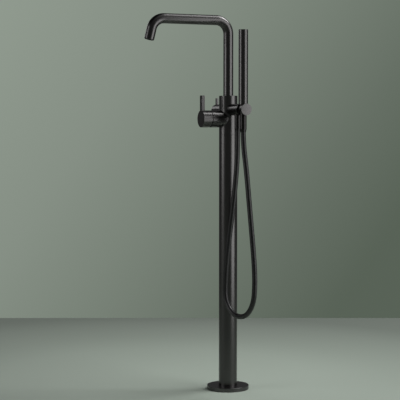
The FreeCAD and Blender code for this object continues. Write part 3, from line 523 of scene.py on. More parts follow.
@dataclass
class Assembly:
    """A sub-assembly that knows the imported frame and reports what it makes.

    Attributes:
        screw_edge: A grub screw's chamfer as a share of its radius.
        socket_depth: Its socket's depth, again as a share of its radius.
    """

    frame: dict
    screw_edge: ClassVar[float] = 0.2
    socket_depth: ClassVar[float] = 1.2

    def finish(
        self,
        piece: Piece,
        body: Body,
        finish: Finish,
        slot: Slot,
        *nodes: str,
        angle: float = SMOOTH_ANGLE,
    ) -> None:
        """Smooth a new piece, dress it and tie it to its body.

        Args:
            piece: The modelled piece.
            body: The body that it rides on.
            finish: Its surface.
            slot: The record's material slot; not used.
            nodes: The CAD nodes that it stands for.
            angle: The sharpness in degrees up to which it is shaded smooth.
        """
        Bench.soften(piece, angle)
        piece.data.materials.clear()
        piece.data.materials.append(finish.material())
        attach(piece, body.value)
        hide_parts(*nodes)
        log.info("%s rides on %s and replaces %s", piece.name, body.value, ", ".join(nodes))

    def coat(self, piece: Piece, body: Body, *nodes: str) -> None:
        """Finish a piece in the satin black coating."""
        self.finish(piece, body, Finishes.COATING, Slot.COATED_METAL, *nodes)

    def grub_screw(
        self, name: str, radius: float, length: float, seat: Seat, body: Body, node: str
    ) -> None:
        """Make a grub screw with chamfered ends and a hexagon socket at its base.

        Args:
            name: The screw's name.
            radius: Its radius, which is also the socket's size across the flats.
            length: Its length.
            seat: Where its base is and which way it points.
            body: The body that it rides on.
            node: The CAD node that it stands for.
        """
        edge = radius * self.screw_edge
        side = [(radius, edge), (radius, length - edge)]
        outline = [(0.0, 0.0), (radius - edge, 0.0), *side, (radius - edge, length), (0.0, length)]
        piece = Bench.turned(name, outline, seat, SCREW_STEPS)
        Bench.clear()
        depth = 2 * self.socket_depth * radius
        bpy.ops.mesh.primitive_cylinder_add(vertices=6, radius=radius / math.sqrt(3.0), depth=depth)
        cutter = bpy.context.object
        Bench.seat(cutter, seat)
        Bench.carve(piece, cutter)
        self.finish(piece, body, Finishes.SCREW, Slot.STEEL, node)

    def dress(self, finish: Finish, *nodes: str) -> None:
        """Give CAD nodes that stay in view or inside a finish.

        Args:
            finish: The surface.
            nodes: The nodes' names.
        """
        for node in nodes:
            shape = self.frame["nodes"][node]
            shape.data.materials.clear()
            shape.data.materials.append(finish.material())
            log.info("%s keeps its CAD shape with %s", node, finish.name)


# ---------------------------------------------------------------------- column and flange
@dataclass
class Column(Assembly):
    """The floor flange, the column and the mixer body on top of it."""

    cover_radius: float = 0.0575
    cover_height: float = 0.011
    cover_wall: float = 0.003
    cover_top: float = 0.0026
    cover_edge: float = 0.0009
    column_radius: float = 0.025
    column_wall: float = 0.002
    column_gap: float = 0.0003
    column_foot: float = 0.005
    seam: float = 0.7
    top: float = 0.806
    bush_radius: float = 0.01555
    bush_depth: float = 0.007
    socket_radius: float = 0.01358
    socket_floor: float = 0.779
    groove: float = 0.00035
    top_edge: float = 0.0006
    bush_edge: float = 0.0004

    def make(self) -> None:
        """Model and dress every piece of the column."""
        self.cover()
        self.tube()
        self.body()
        self.dress(Finishes.RUBBER, "flange_seal_ring")
        self.dress(Finishes.STEEL, "mounting_plate", "column_spigot")
        self.dress(Finishes.SCREW, "column_clamp_screws", "spout_lock_screw")
        self.dress(Finishes.COPPER, "hot_supply_pipe", "cold_supply_pipe")
        self.dress(Finishes.BRASS, "hot_inlet_coupling", "cold_inlet_coupling")
        self.dress(Finishes.LINER, "swivel_bush")

    def cover(self) -> None:
        """The flange's cover, a turned disc with an eased rim."""
        inner = self.column_radius + self.column_gap
        under = self.cover_height - self.cover_top
        outline = [
            (inner, under),
            (inner, self.cover_height),
            (self.cover_radius, self.cover_height),
            (self.cover_radius, 0.0),
            (self.cover_radius - self.cover_wall, 0.0),
            (self.cover_radius - self.cover_wall, under),
            (inner, under),
        ]
        piece = Bench.turned("flange_disc", outline, Seat(), DISC_STEPS)
        Bench.ease(piece, self.cover_edge, 4)
        self.finish(piece, Body.STAND, Finishes.DISC, Slot.COATED_METAL, "flange_cover")

    def tube(self) -> None:
        """The column's tube up to a fine seam under the mixer body."""
        outer, bore = self.column_radius, self.column_radius - self.column_wall
        outline = [
            (bore, self.column_foot),
            (outer, self.column_foot),
            (outer, self.seam - self.groove),
            (outer - self.groove, self.seam),
            (bore, self.seam),
            (bore, self.column_foot),
        ]
        piece = Bench.turned("column", outline, Seat())
        self.coat(piece, Body.STAND, "column_tube")

    def body(self) -> None:
        """The mixer body, with the bore that the spout's foot turns in."""
        outer = self.column_radius
        outline = [
            (0.0, self.seam),
            (outer - self.groove, self.seam),
            (outer, self.seam + self.groove),
            (outer, self.top - self.top_edge),
            (outer - CHAMFER, self.top - CHAMFER),
            (outer - self.top_edge, self.top),
            (self.bush_radius + self.bush_edge, self.top),
            (self.bush_radius, self.top - self.bush_edge),
            (self.bush_radius, self.top - self.bush_depth),
            (self.socket_radius, self.top - self.bush_depth),
            (self.socket_radius, self.socket_floor),
            (0.0, self.socket_floor),
        ]
        piece = Bench.turned("mixer_head", outline, Seat())
        self.coat(piece, Body.STAND, "mixer_body")


# ---------------------------------------------------------------------- mixer lever
@dataclass
class MixerLever(Assembly):
    """The barrel with its fixed sleeve, tilting cap and upright blade."""

    axis_height: float = 0.743
    radius: float = 0.023
    boss_radius: float = 0.0205
    sleeve_edge: float = 0.0003
    sleeve_end: float = 0.0545
    rim: float = 0.056
    cap_end: float = 0.082
    cap_bore: float = 0.021
    block: float = 0.07
    pivot: float = 0.046
    tilt_degrees: float = 15.0
    tilt_gap: float = 0.0006
    relief_size: float = 0.1
    blade_thick: float = 0.0092
    blade_width: float = 0.013
    blade_top: float = 0.8064
    blade_foot: float = 0.003
    blade_edge: float = 0.0007
    cope_low: float = 0.65
    cope_height: float = 0.2
    screw_radius: float = 0.0025
    screw_length: float = 0.008
    screw_below: float = 0.00405
    screw_inset: float = 0.004

    def make(self) -> None:
        """Model and dress every piece of the lever."""
        self.sleeve()
        self.cap()
        self.blade()
        self.screw()
        self.dress(Finishes.COATING, "cartridge_nut")
        self.dress(Finishes.WHITE, "cartridge_body", "cartridge_turret")
        self.dress(Finishes.RUBBER, "cartridge_seals")
        self.dress(Finishes.STEEL, "turret_pin", "lever_stem")

    def seat(self) -> Seat:
        """The barrel's axis from the column outwards."""
        return Seat((0.0, 0.0, self.axis_height), Way.SPOUT.value)

    def sleeve(self) -> None:
        """The fixed sleeve, coped to the column."""
        outline = sleeve_outline(self.boss_radius, self.radius, BARREL_START, self.sleeve_end)
        piece = Bench.turned("lever_barrel", outline, self.seat())
        Bench.ease(piece, self.sleeve_edge, 2)
        Bench.cope(piece, self.cope_low, self.cope_height)
        self.coat(piece, Body.STAND, "lever_sleeve")

    def cap(self) -> None:
        """The tilting cap, with its lower rim cut back at a slant."""
        outline = cup_outline(self.cap_bore, self.radius, self.rim, self.block, self.cap_end)
        piece = Bench.turned("lever_cap_shell", outline, self.seat())
        reach = self.sleeve_end - self.pivot + self.tilt_gap
        size = self.relief_size
        relief = Bench.block("relief", (-reach, -size, -size), (size, size, size))
        relief.rotation_euler = (0.0, math.radians(self.tilt_degrees), 0.0)
        relief.location = (-self.pivot, 0.0, self.axis_height)
        Bench.settle(relief)
        Bench.carve(piece, relief)
        self.coat(piece, Body.LEVER, "lever_cap")

    def blade(self) -> None:
        """The upright blade, flush with the cap's end and let into its top."""
        half = self.blade_width / 2
        low = (-self.cap_end, -half, self.axis_height + self.radius - self.blade_foot)
        high = (-self.cap_end + self.blade_thick, half, self.blade_top)
        piece = Bench.block("lever_bar", low, high)
        Bench.ease(piece, self.blade_edge, 4)
        self.coat(piece, Body.LEVER, "lever_blade")

    def screw(self) -> None:
        """The grub screw inside the cap's end, with a hexagon socket."""
        low = self.axis_height - self.screw_below - self.screw_length
        place = Seat((-self.block - self.screw_inset, 0.0, low))
        size = (self.screw_radius, self.screw_length)
        self.grub_screw("lever_grub_screw", *size, place, Body.LEVER, "lever_set_screw")


# ---------------------------------------------------------------------- arm and holder
@dataclass
class Arm(Assembly):
    """The hand shower's arm with the hose outlet and the slotted holder."""

    axis_height: float = 0.7678
    radius: float = 0.0156
    end: float = 0.0745
    holder_end: float = 0.1134
    outlet: float = 0.0592
    outlet_head: float = 0.01005
    sleeve_radius: float = 0.0081
    sleeve_bottom: float = 0.712
    waterway: float = 0.0055
    handset: float = 0.0933
    hole_radius: float = 0.0104
    seat_radius: float = 0.013
    seat_height: float = 0.7811
    slot_width: float = 0.018
    slot_reach: float = 0.03
    slot_top: float = 0.8
    slot_edge: float = 0.0003
    hose_radius: float = 0.007
    hose_bore: float = 0.004
    cope_low: float = 0.72
    cope_height: float = 0.1
    bore_low: float = 0.7458
    bore_height: float = 0.0155
    hole_low: float = 0.74
    hole_height: float = 0.06
    holder_edge: float = 0.0006
    head_radius: float = 0.01
    head_inset: float = 0.001
    head_drop: float = 0.0081

    def make(self) -> None:
        """Model and dress every piece of the arm."""
        self.tube()
        self.holder()
        self.liner()
        self.outlet_sleeve()
        self.dress(Finishes.BRASS, "arm_nipple")
        self.dress(Finishes.WHITE, "non_return_valve")
        self.dress(Finishes.RUBBER, "hose_outlet_washer")

    def seat(self) -> Seat:
        """The arm's axis from the column outwards."""
        return Seat((0.0, 0.0, self.axis_height), Way.HOLDER.value)

    def tube(self) -> None:
        """The arm, coped to the column and bored from below for the outlet."""
        outline = sleeve_outline(self.waterway, self.radius, BARREL_START, self.end, CHAMFER)
        piece = Bench.turned("arm_tube", outline, self.seat())
        Bench.cope(piece, self.cope_low, self.cope_height)
        bore = rod_outline(self.outlet_head, self.bore_height)
        place = Seat((0.0, -self.outlet, self.bore_low))
        Bench.carve(piece, Bench.turned("bore", bore, place, SLIM_STEPS))
        self.coat(piece, Body.STAND, "outlet_arm")

    def holder(self) -> None:
        """The slotted end of the arm that the hand shower stands in."""
        outline = [
            (0.0, self.end),
            *near_rim(self.radius, self.end),
            *far_rim(self.radius, self.holder_end, self.holder_edge),
            (0.0, self.holder_end),
        ]
        piece = Bench.turned("holder_end", outline, self.seat())
        step = self.seat_height - self.hole_low
        hole = [
            (0.0, 0.0),
            (self.hole_radius, 0.0),
            (self.hole_radius, step),
            (self.seat_radius, step),
            (self.seat_radius, self.hole_height),
            (0.0, self.hole_height),
        ]
        place = Seat((0.0, -self.handset, self.hole_low))
        Bench.carve(piece, Bench.turned("hole", hole, place))
        half = self.slot_width / 2
        low = (-self.slot_reach, -self.handset - half, self.hole_low)
        high = (0.0, -self.handset + half, self.slot_top)
        Bench.carve(piece, Bench.block("slot", low, high))
        Bench.ease(piece, self.slot_edge, 2, 50.0)
        self.coat(piece, Body.STAND, "handset_holder")

    def liner(self) -> None:
        """The thin plastic liner in the holder's hole keeps its CAD shape."""
        self.dress(Finishes.LINER, "holder_liner")

    def outlet_sleeve(self) -> None:
        """The sleeve that leads the hose out of the arm, tapered at its end."""
        head_low = self.axis_height - self.radius + self.head_inset
        head_top = self.axis_height - self.head_drop
        bottom = self.sleeve_bottom
        bore = self.hose_bore
        outline = [
            (bore, bottom),
            (self.hose_radius + 0.0003, bottom),
            (self.hose_radius + 0.0005, bottom + 0.0004),
            (self.sleeve_radius - 0.0002, bottom + 0.0046),
            (self.sleeve_radius, bottom + 0.0054),
            (self.sleeve_radius, head_low),
            (self.head_radius, head_low),
            (self.head_radius, head_top),
            (bore, head_top),
            (bore, bottom),
        ]
        place = Seat((0.0, -self.outlet, 0.0))
        piece = Bench.turned("outlet_sleeve", outline, place, SLIM_STEPS)
        self.finish(piece, Body.STAND, Finishes.FITTING, Slot.COATED_METAL, "hose_outlet_sleeve")


# ---------------------------------------------------------------------- hand shower
@dataclass
class HandShower(Assembly):
    """The stick hand shower, its spray plate and the hose's cone nut."""

    axis: float = -0.0933
    radius: float = 0.0126
    bore: float = 0.0112
    base: float = 0.7814
    top: float = 0.9797
    base_edge: float = 0.0003
    plug_drop: float = 0.0003
    plug_thick: float = 0.006
    nut_radius: float = 0.00915
    nut_bore: float = 0.004
    nut_seat: float = 0.00712
    nut_bottom: float = 0.709
    nut_taper: float = 0.007
    nut_skirt: float = 0.0018
    spray_low: float = 0.8907
    spray_top: float = 0.9647
    spray_width: float = 0.01
    window_depth: float = 0.02
    window_corner: float = 0.003
    plate_joint: float = 0.00012
    plate_set_back: float = 0.0003
    plate_hidden: float = 0.002
    plate_inset: float = 0.0004
    plate_start: float = 0.004
    plate_corner: float = 0.0029
    nozzle_radius: float = 0.0007
    nozzle_rows: int = 14
    nozzle_columns: tuple[float, ...] = (-0.003, 0.0, 0.003)

    def make(self) -> None:
        """Model and dress every piece of the hand shower."""
        self.tube()
        self.plate()
        self.nozzles()
        self.nut()
        self.dress(Finishes.WHITE, "handset_core")
        self.dress(Finishes.BRASS, "handset_end_fitting")
        self.dress(Finishes.RUBBER, "handset_washer")

    def seat(self) -> Seat:
        """The hand shower's upright axis."""
        return Seat((0.0, self.axis, 0.0))

    def tube(self) -> None:
        """The closed stick with its window for the spray plate."""
        outline = [
            (self.bore, self.base),
            (self.radius - self.base_edge, self.base),
            (self.radius, self.base + self.base_edge),
            *far_rim(self.radius, self.top),
            (self.radius - 0.0013, self.top),
            (self.radius - 0.0014, self.top - self.plug_drop),
            (0.0, self.top - self.plug_drop),
            (0.0, self.top - self.plug_thick),
            (self.bore, self.top - self.plug_thick),
            (self.bore, self.base),
        ]
        piece = Bench.turned("shower_stick", outline, self.seat())
        half = self.spray_width / 2
        low = (0.0, self.axis - half, self.spray_low)
        high = (self.window_depth, self.axis + half, self.spray_top)
        window = Bench.block("window", low, high)
        Bench.ease(window, self.window_corner, 6, 80.0)
        Bench.carve(piece, window)
        self.coat(piece, Body.HANDSET, "handset_tube", "handset_top_plug")

    def plate(self) -> None:
        """The curved spray plate in the window, with a small joint all round."""
        low, high = self.spray_low - self.plate_hidden, self.spray_top + self.plate_hidden
        outline = sleeve_outline(self.bore - self.plate_inset, self.radius - self.plate_set_back, low, high)
        piece = Bench.turned("spray_face", outline, self.seat())
        half = self.spray_width / 2 - self.plate_joint
        low = (self.plate_start, self.axis - half, self.spray_low + self.plate_joint)
        high = (self.window_depth, self.axis + half, self.spray_top - self.plate_joint)
        window = Bench.block("window", low, high)
        Bench.ease(window, self.plate_corner, 6, 80.0)
        Bench.carve(piece, window, Cut.SHARED)
        self.finish(piece, Body.HANDSET, Finishes.LINER, Slot.DARK_PLASTIC, "spray_plate")

    def nozzles(self) -> None:
        """The soft nozzles: one is turned and the others are copies of it."""
        r = self.nozzle_radius
        outline = [
            (0.0, -0.0008),
            (r * 1.5, -0.0008),
            (r * 1.35, 0.0),
            (r, 0.0004),
            (r * 0.9, 0.00062),
            (r * 0.6, 0.0007),
            (r * 0.45, 0.0005),
            (0.0, 0.0005),
        ]
        pitch = (self.spray_top - self.spray_low) / self.nozzle_rows
        parts = []
        for row in range(self.nozzle_rows):
            for column in self.nozzle_columns:
                depth = math.sqrt((self.radius - self.plate_set_back) ** 2 - column**2)
                height = self.spray_low + (row + 0.5) * pitch
                place = Seat((depth, self.axis + column, height), Way.BACK.value)
                if not parts:
                    parts.append(Bench.turned("nozzle", outline, place, NOZZLE_STEPS))
                    first = place
                    continue
                Bench.use(parts[0])
                bpy.ops.object.duplicate(linked=False)
                copy = bpy.context.object
                copy.location = Vector(place.base) - Vector(first.base)
                Bench.settle(copy)
                parts.append(copy)
        piece = Bench.join("nozzle_rows", parts)
        self.finish(piece, Body.HANDSET, Finishes.RUBBER, Slot.RUBBER, "spray_nozzles", angle=50.0)

    def nut(self) -> None:
        """The hose's long nut, which stands in the holder under the stick."""
        bottom = self.nut_bottom
        outline = [
            (self.nut_bore, bottom + 0.0004),
            (self.nut_seat, bottom + 0.0004),
            (self.nut_seat, bottom - self.nut_skirt),
            (0.0074, bottom - self.nut_skirt),
            (0.0076, bottom - self.nut_skirt + 0.0003),
            (self.nut_radius - 0.0002, bottom + self.nut_taper - 0.0006),
            (self.nut_radius, bottom + self.nut_taper + 0.0004),
            (self.nut_radius, self.base - 0.0003),
            (self.nut_radius - 0.0003, self.base),
            (self.nut_bore, self.base),
            (self.nut_bore, bottom + 0.0004),
        ]
        piece = Bench.turned("cone_nut", outline, self.seat(), SLIM_STEPS)
        self.finish(piece, Body.HANDSET, Finishes.FITTING, Slot.COATED_METAL, "hose_cone_nut")


# ---------------------------------------------------------------------- diverter
@dataclass
class Diverter(Assembly):
    """The diverter's fixed sleeve and its knob with a short bar."""

    axis_height: float = 0.7678
    radius: float = 0.0156
    bore: float = 0.0132
    sleeve_end: float = 0.052
    knob: float = 0.053
    end: float = 0.077
    block: float = 0.068
    bar_thick: float = 0.006
    bar_width: float = 0.0072
    bar_top: float = 0.8008
    bar_foot: float = 0.002
    bar_edge: float = 0.0006
    cope_low: float = 0.72
    cope_height: float = 0.1
    screw_radius: float = 0.002
    screw_length: float = 0.006
    screw_below: float = 0.00405
    screw_inset: float = 0.003

    def make(self) -> None:
        """Model and dress every piece of the diverter."""
        self.sleeve()
        self.turning_knob()
        self.bar()
        self.screw()
        self.dress(Finishes.BRASS, "diverter_cartridge", "diverter_spindle")

    def seat(self) -> Seat:
        """The diverter's axis from the column outwards."""
        return Seat((0.0, 0.0, self.axis_height), Way.DIVERTER.value)

    def sleeve(self) -> None:
        """The fixed sleeve, coped to the column."""
        outline = sleeve_outline(self.bore, self.radius, BARREL_START, self.sleeve_end, CHAMFER)
        piece = Bench.turned("diverter_collar", outline, self.seat())
        Bench.cope(piece, self.cope_low, self.cope_height)
        self.coat(piece, Body.STAND, "diverter_sleeve")

    def turning_knob(self) -> None:
        """The knob, hollow towards the sleeve and closed at its end."""
        outline = cup_outline(self.bore, self.radius, self.knob, self.block, self.end)
        piece = Bench.turned("diverter_grip", outline, self.seat())
        self.coat(piece, Body.DIVERTER, "diverter_knob")

    def bar(self) -> None:
        """The short bar, flush with the knob's end."""
        half = self.bar_thick / 2
        low = (-half, self.end - self.bar_width, self.axis_height + self.radius - self.bar_foot)
        piece = Bench.block("diverter_bar", low, (half, self.end, self.bar_top))
        Bench.ease(piece, self.bar_edge, 4)
        self.coat(piece, Body.DIVERTER, "diverter_blade")

    def screw(self) -> None:
        """The grub screw inside the knob's end, with a hexagon socket."""
        low = self.axis_height - self.screw_below - self.screw_length
        place = Seat((0.0, self.block + self.screw_inset, low))
        size = (self.screw_radius, self.screw_length)
        self.grub_screw("diverter_grub_screw", *size, place, Body.DIVERTER, "diverter_set_screw")


# ---------------------------------------------------------------------- spout
@dataclass
class Spout(Assembly):
    """The swivelling spout: riser, two bends, run and a leaning outlet leg."""

    radius: float = 0.0135
    bore: float = 0.012
    foot: float = 0.796
    run_height: float = 1.01
    bend_radius: float = 0.0365
    reach: float = 0.2318
    lean_degrees: float = 14.0
    outlet_height: float = 0.9548
    bend_steps: int = 36
    lip: float = 0.0018
    lip_radius: float = 0.0126
    aerator_bore: float = 0.0102
    aerator_radius: float = 0.01195
    aerator_depth: float = 0.01
    bore_depth: float = 0.012
    outlet_edge: float = 0.0003

    def make(self) -> None:
        """Model and dress every piece of the spout."""
        self.tube()
        self.aerator_ring()
        self.aerator_grid()
        self.dress(Finishes.BRASS, "spout_spigot")
        self.dress(Finishes.RUBBER, "spout_rings")

    def leg(self) -> tuple[Vector, Vector, float]:
        """The outlet point, the leg's direction and its length."""
        lean = math.radians(self.lean_degrees)
        direction = Vector((-math.sin(lean), 0.0, -math.cos(lean)))
        turn = math.pi / 2 - lean
        bend_end = self.run_height - self.bend_radius * (1.0 - math.cos(turn))
        length = (bend_end - self.outlet_height) / math.cos(lean)
        return Vector((-self.reach, 0.0, self.outlet_height)), direction, length

    def tube(self) -> None:
        """Lead a ring along the spout's line: extrude, spin, extrude, spin, extrude."""
        outlet, direction, length = self.leg()
        lean = math.radians(self.lean_degrees)
        turn = math.pi / 2 - lean
        bend_two = -self.reach + length * math.sin(lean) + self.bend_radius * math.sin(turn)
        centre_height = self.run_height - self.bend_radius
        Bench.clear()
        bpy.ops.mesh.primitive_circle_add(
            vertices=SLIM_STEPS, radius=self.radius, fill_type="NGON", location=(0.0, 0.0, self.foot)
        )
        piece = bpy.context.object
        piece.name = "spout_pipe"
        Bench.settle(piece)
        bpy.ops.object.mode_set(mode="EDIT")
        bpy.ops.mesh.select_mode(type="EDGE")
        bpy.ops.mesh.select_all(action="SELECT")
        self.lead((0.0, 0.0, centre_height - self.foot))
        self.turn_ring((-self.bend_radius, 0.0, centre_height), math.pi / 2)
        self.lead((bend_two + self.bend_radius, 0.0, 0.0))
        self.turn_ring((bend_two, 0.0, centre_height), turn)
        self.lead(tuple(direction * length))
        bpy.ops.mesh.extrude_region_move()
        scale = self.bore / self.radius
        bpy.ops.transform.resize(value=(scale, scale, scale), center_override=tuple(outlet))
        self.lead(tuple(-direction * self.bore_depth))
        bpy.ops.mesh.edge_face_add()
        Bench.close()
        bpy.ops.object.mode_set(mode="OBJECT")
        Bench.ease(piece, self.outlet_edge, 2, 60.0)
        self.coat(piece, Body.SPOUT, "spout_tube")

    @staticmethod
    def lead(step: Point) -> None:
        """Extrude the selected ring by a step."""
        bpy.ops.mesh.extrude_region_move(TRANSFORM_OT_translate={"value": step})

    def turn_ring(self, centre: Point, angle: float) -> None:
        """Spin the selected ring round a bend's centre, towards the outlet."""
        bpy.ops.mesh.spin(steps=self.bend_steps, angle=angle, center=centre, axis=(0.0, 1.0, 0.0))

    def aerator_ring(self) -> None:
        """The ring screwed into the outlet, with an eased lip."""
        outlet, direction, _ = self.leg()
        outline = [
            (self.aerator_bore, -self.aerator_depth),
            (self.aerator_radius, -self.aerator_depth),
            (self.aerator_radius, 0.0),
            (self.lip_radius, 0.0),
            (self.lip_radius, self.lip - 0.0003),
            (self.lip_radius - 0.0003, self.lip),
            (self.aerator_bore + 0.0002, self.lip),
            (self.aerator_bore, self.lip - 0.0002),
            (self.aerator_bore, -self.aerator_depth),
        ]
        piece = Bench.turned("aerator_ring", outline, Seat(tuple(outlet), tuple(direction)), SLIM_STEPS)
        self.coat(piece, Body.SPOUT, "aerator_housing")

    def aerator_grid(self) -> None:
        """The pierced disc, set back in the ring, keeps its CAD shape."""
        self.dress(Finishes.LINER, "aerator_insert")


# ---------------------------------------------------------------------- hose
@dataclass
class Hose(Assembly):
    """The smooth hose that hangs in a loop between the arm and the hand shower."""

    diameter: float = 0.014
    length: float = 1.07
    around: int = 32
    fineness: int = 12
    route: tuple[Point, ...] = (
        (0.0, -0.0592, 0.712),
        (0.0, -0.0592, 0.668),
        (-0.0012, -0.0569, 0.612),
        (-0.0062, -0.0487, 0.52),
        (-0.0146, -0.0375, 0.42),
        (-0.019, -0.0306, 0.35),
        (-0.0212, -0.0282, 0.3),
        (-0.0218, -0.0291, 0.249),
        (-0.0141, -0.0632, 0.2122),
        (-0.0013, -0.1127, 0.2122),
        (0.0053, -0.1464, 0.25),
        (0.0091, -0.1475, 0.3),
        (0.0099, -0.1424, 0.352),
        (0.0089, -0.1348, 0.408),
        (0.0068, -0.1186, 0.51),
        (0.0042, -0.1048, 0.608),
        (0.0005, -0.0949, 0.668),
        (0.0, -0.0933, 0.7084),
    )

    def make(self) -> None:
        spline = self.curve("hose_line", 0.0)
        line = self.read_line(spline)
        bpy.data.objects.remove(spline)
        piece = self.skin()
        piece.data.materials.clear()
        piece.data.materials.append(Finishes.HOSE.material())
        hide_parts("shower_hose")
        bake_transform(piece)
        log.info("%s hangs between the arm and the hand shower", piece.name)

    def curve(self, name: str, bevel: float) -> Piece:
        """A smooth curve that is led along by the route's points.

        Args:
            name: The object's name.
            bevel: The tube's radius, or nothing for the bare line.

        Returns:
            The curve object.
        """
        data = bpy.data.curves.new(name, "CURVE")
        data.dimensions = "3D"
        data.resolution_u = self.fineness
        data.bevel_depth = bevel
        data.bevel_resolution = self.around // 4 - 2
        data.use_fill_caps = True
        spline = data.splines.new("NURBS")
        spline.points.add(len(self.route) - 1)
        for point, place in zip(spline.points, self.route):
            point.co = (*place, 1.0)
        spline.order_u = 3
        spline.use_endpoint_u = True
        piece = bpy.data.objects.new(name, data)
        bpy.context.scene.collection.objects.link(piece)
        bpy.context.view_layer.update()
        return piece

    @staticmethod
    def read_line(curve: Piece) -> list[Vector]:
        """The points along a bare curve, in order."""
        view = bpy.context.evaluated_depsgraph_get()
        mesh = bpy.data.meshes.new_from_object(curve.evaluated_get(view))
        points = [vertex.co.copy() for vertex in mesh.vertices]
        bpy.data.meshes.remove(mesh)
        return points

    def skin(self) -> Piece:
        """The hose's round skin as a mesh."""
        curve = self.curve("hose", self.diameter / 2)
        Bench.use(curve)
        bpy.ops.object.convert(target="MESH")
        piece = bpy.context.object
        bpy.ops.object.mode_set(mode="EDIT")
        Bench.close()
        bpy.ops.object.mode_set(mode="OBJECT")
        Bench.soften(piece, 40.0)
        return piece


# ---------------------------------------------------------------------- studio
@dataclass
class Lamp:
    """A softbox aimed at the bath filler.

    Attributes:
        name: The lamp's name.
        place: Where it stands.
        target: The point that it faces.
        size: Its width and height.
        glow: Its radiance.
    """

    name: str
    place: Point
    target: Point
    size: tuple[float, float]
    glow: float

    def hang(self) -> None:
        """Add the lamp, with the power that gives its radiance."""
        data = bpy.data.lights.new(self.name, "AREA")
        data.shape = "RECTANGLE"
        data.size, data.size_y = self.size
        data.energy = self.glow * math.pi * self.size[0] * self.size[1]
        lamp = bpy.data.objects.new(self.name, data)
        bpy.context.scene.collection.objects.link(lamp)
        lamp.visible_camera = False
        lamp.location = self.place
        aim = Vector(self.target) - Vector(self.place)
        lamp.rotation_euler = aim.to_track_quat("-Z", "Y").to_euler()


def around_camera(azimuth: float, elevation: float, distance: float, height: float) -> Point:
    """A place given by its direction from the camera's side of the object.

    Args:
        azimuth: Degrees to the right of the direction from the object to the camera.
        elevation: Degrees above the horizontal.
        distance: How far away it is.
        height: The height of the point that it is measured from.

    Returns:
        The place.
    """
    view = math.radians(CAMERA_SIDE_DEGREES)
    turn = math.radians(azimuth)
    rise = math.radians(elevation)
    to_camera = Vector((-math.sin(view), -math.cos(view), 0.0))
    to_right = Vector((math.cos(view), -math.sin(view), 0.0))
    level = to_camera * math.cos(turn) + to_right * math.sin(turn)
    place = level * math.cos(rise) * distance
    return (place.x, place.y, height + math.sin(rise) * distance)


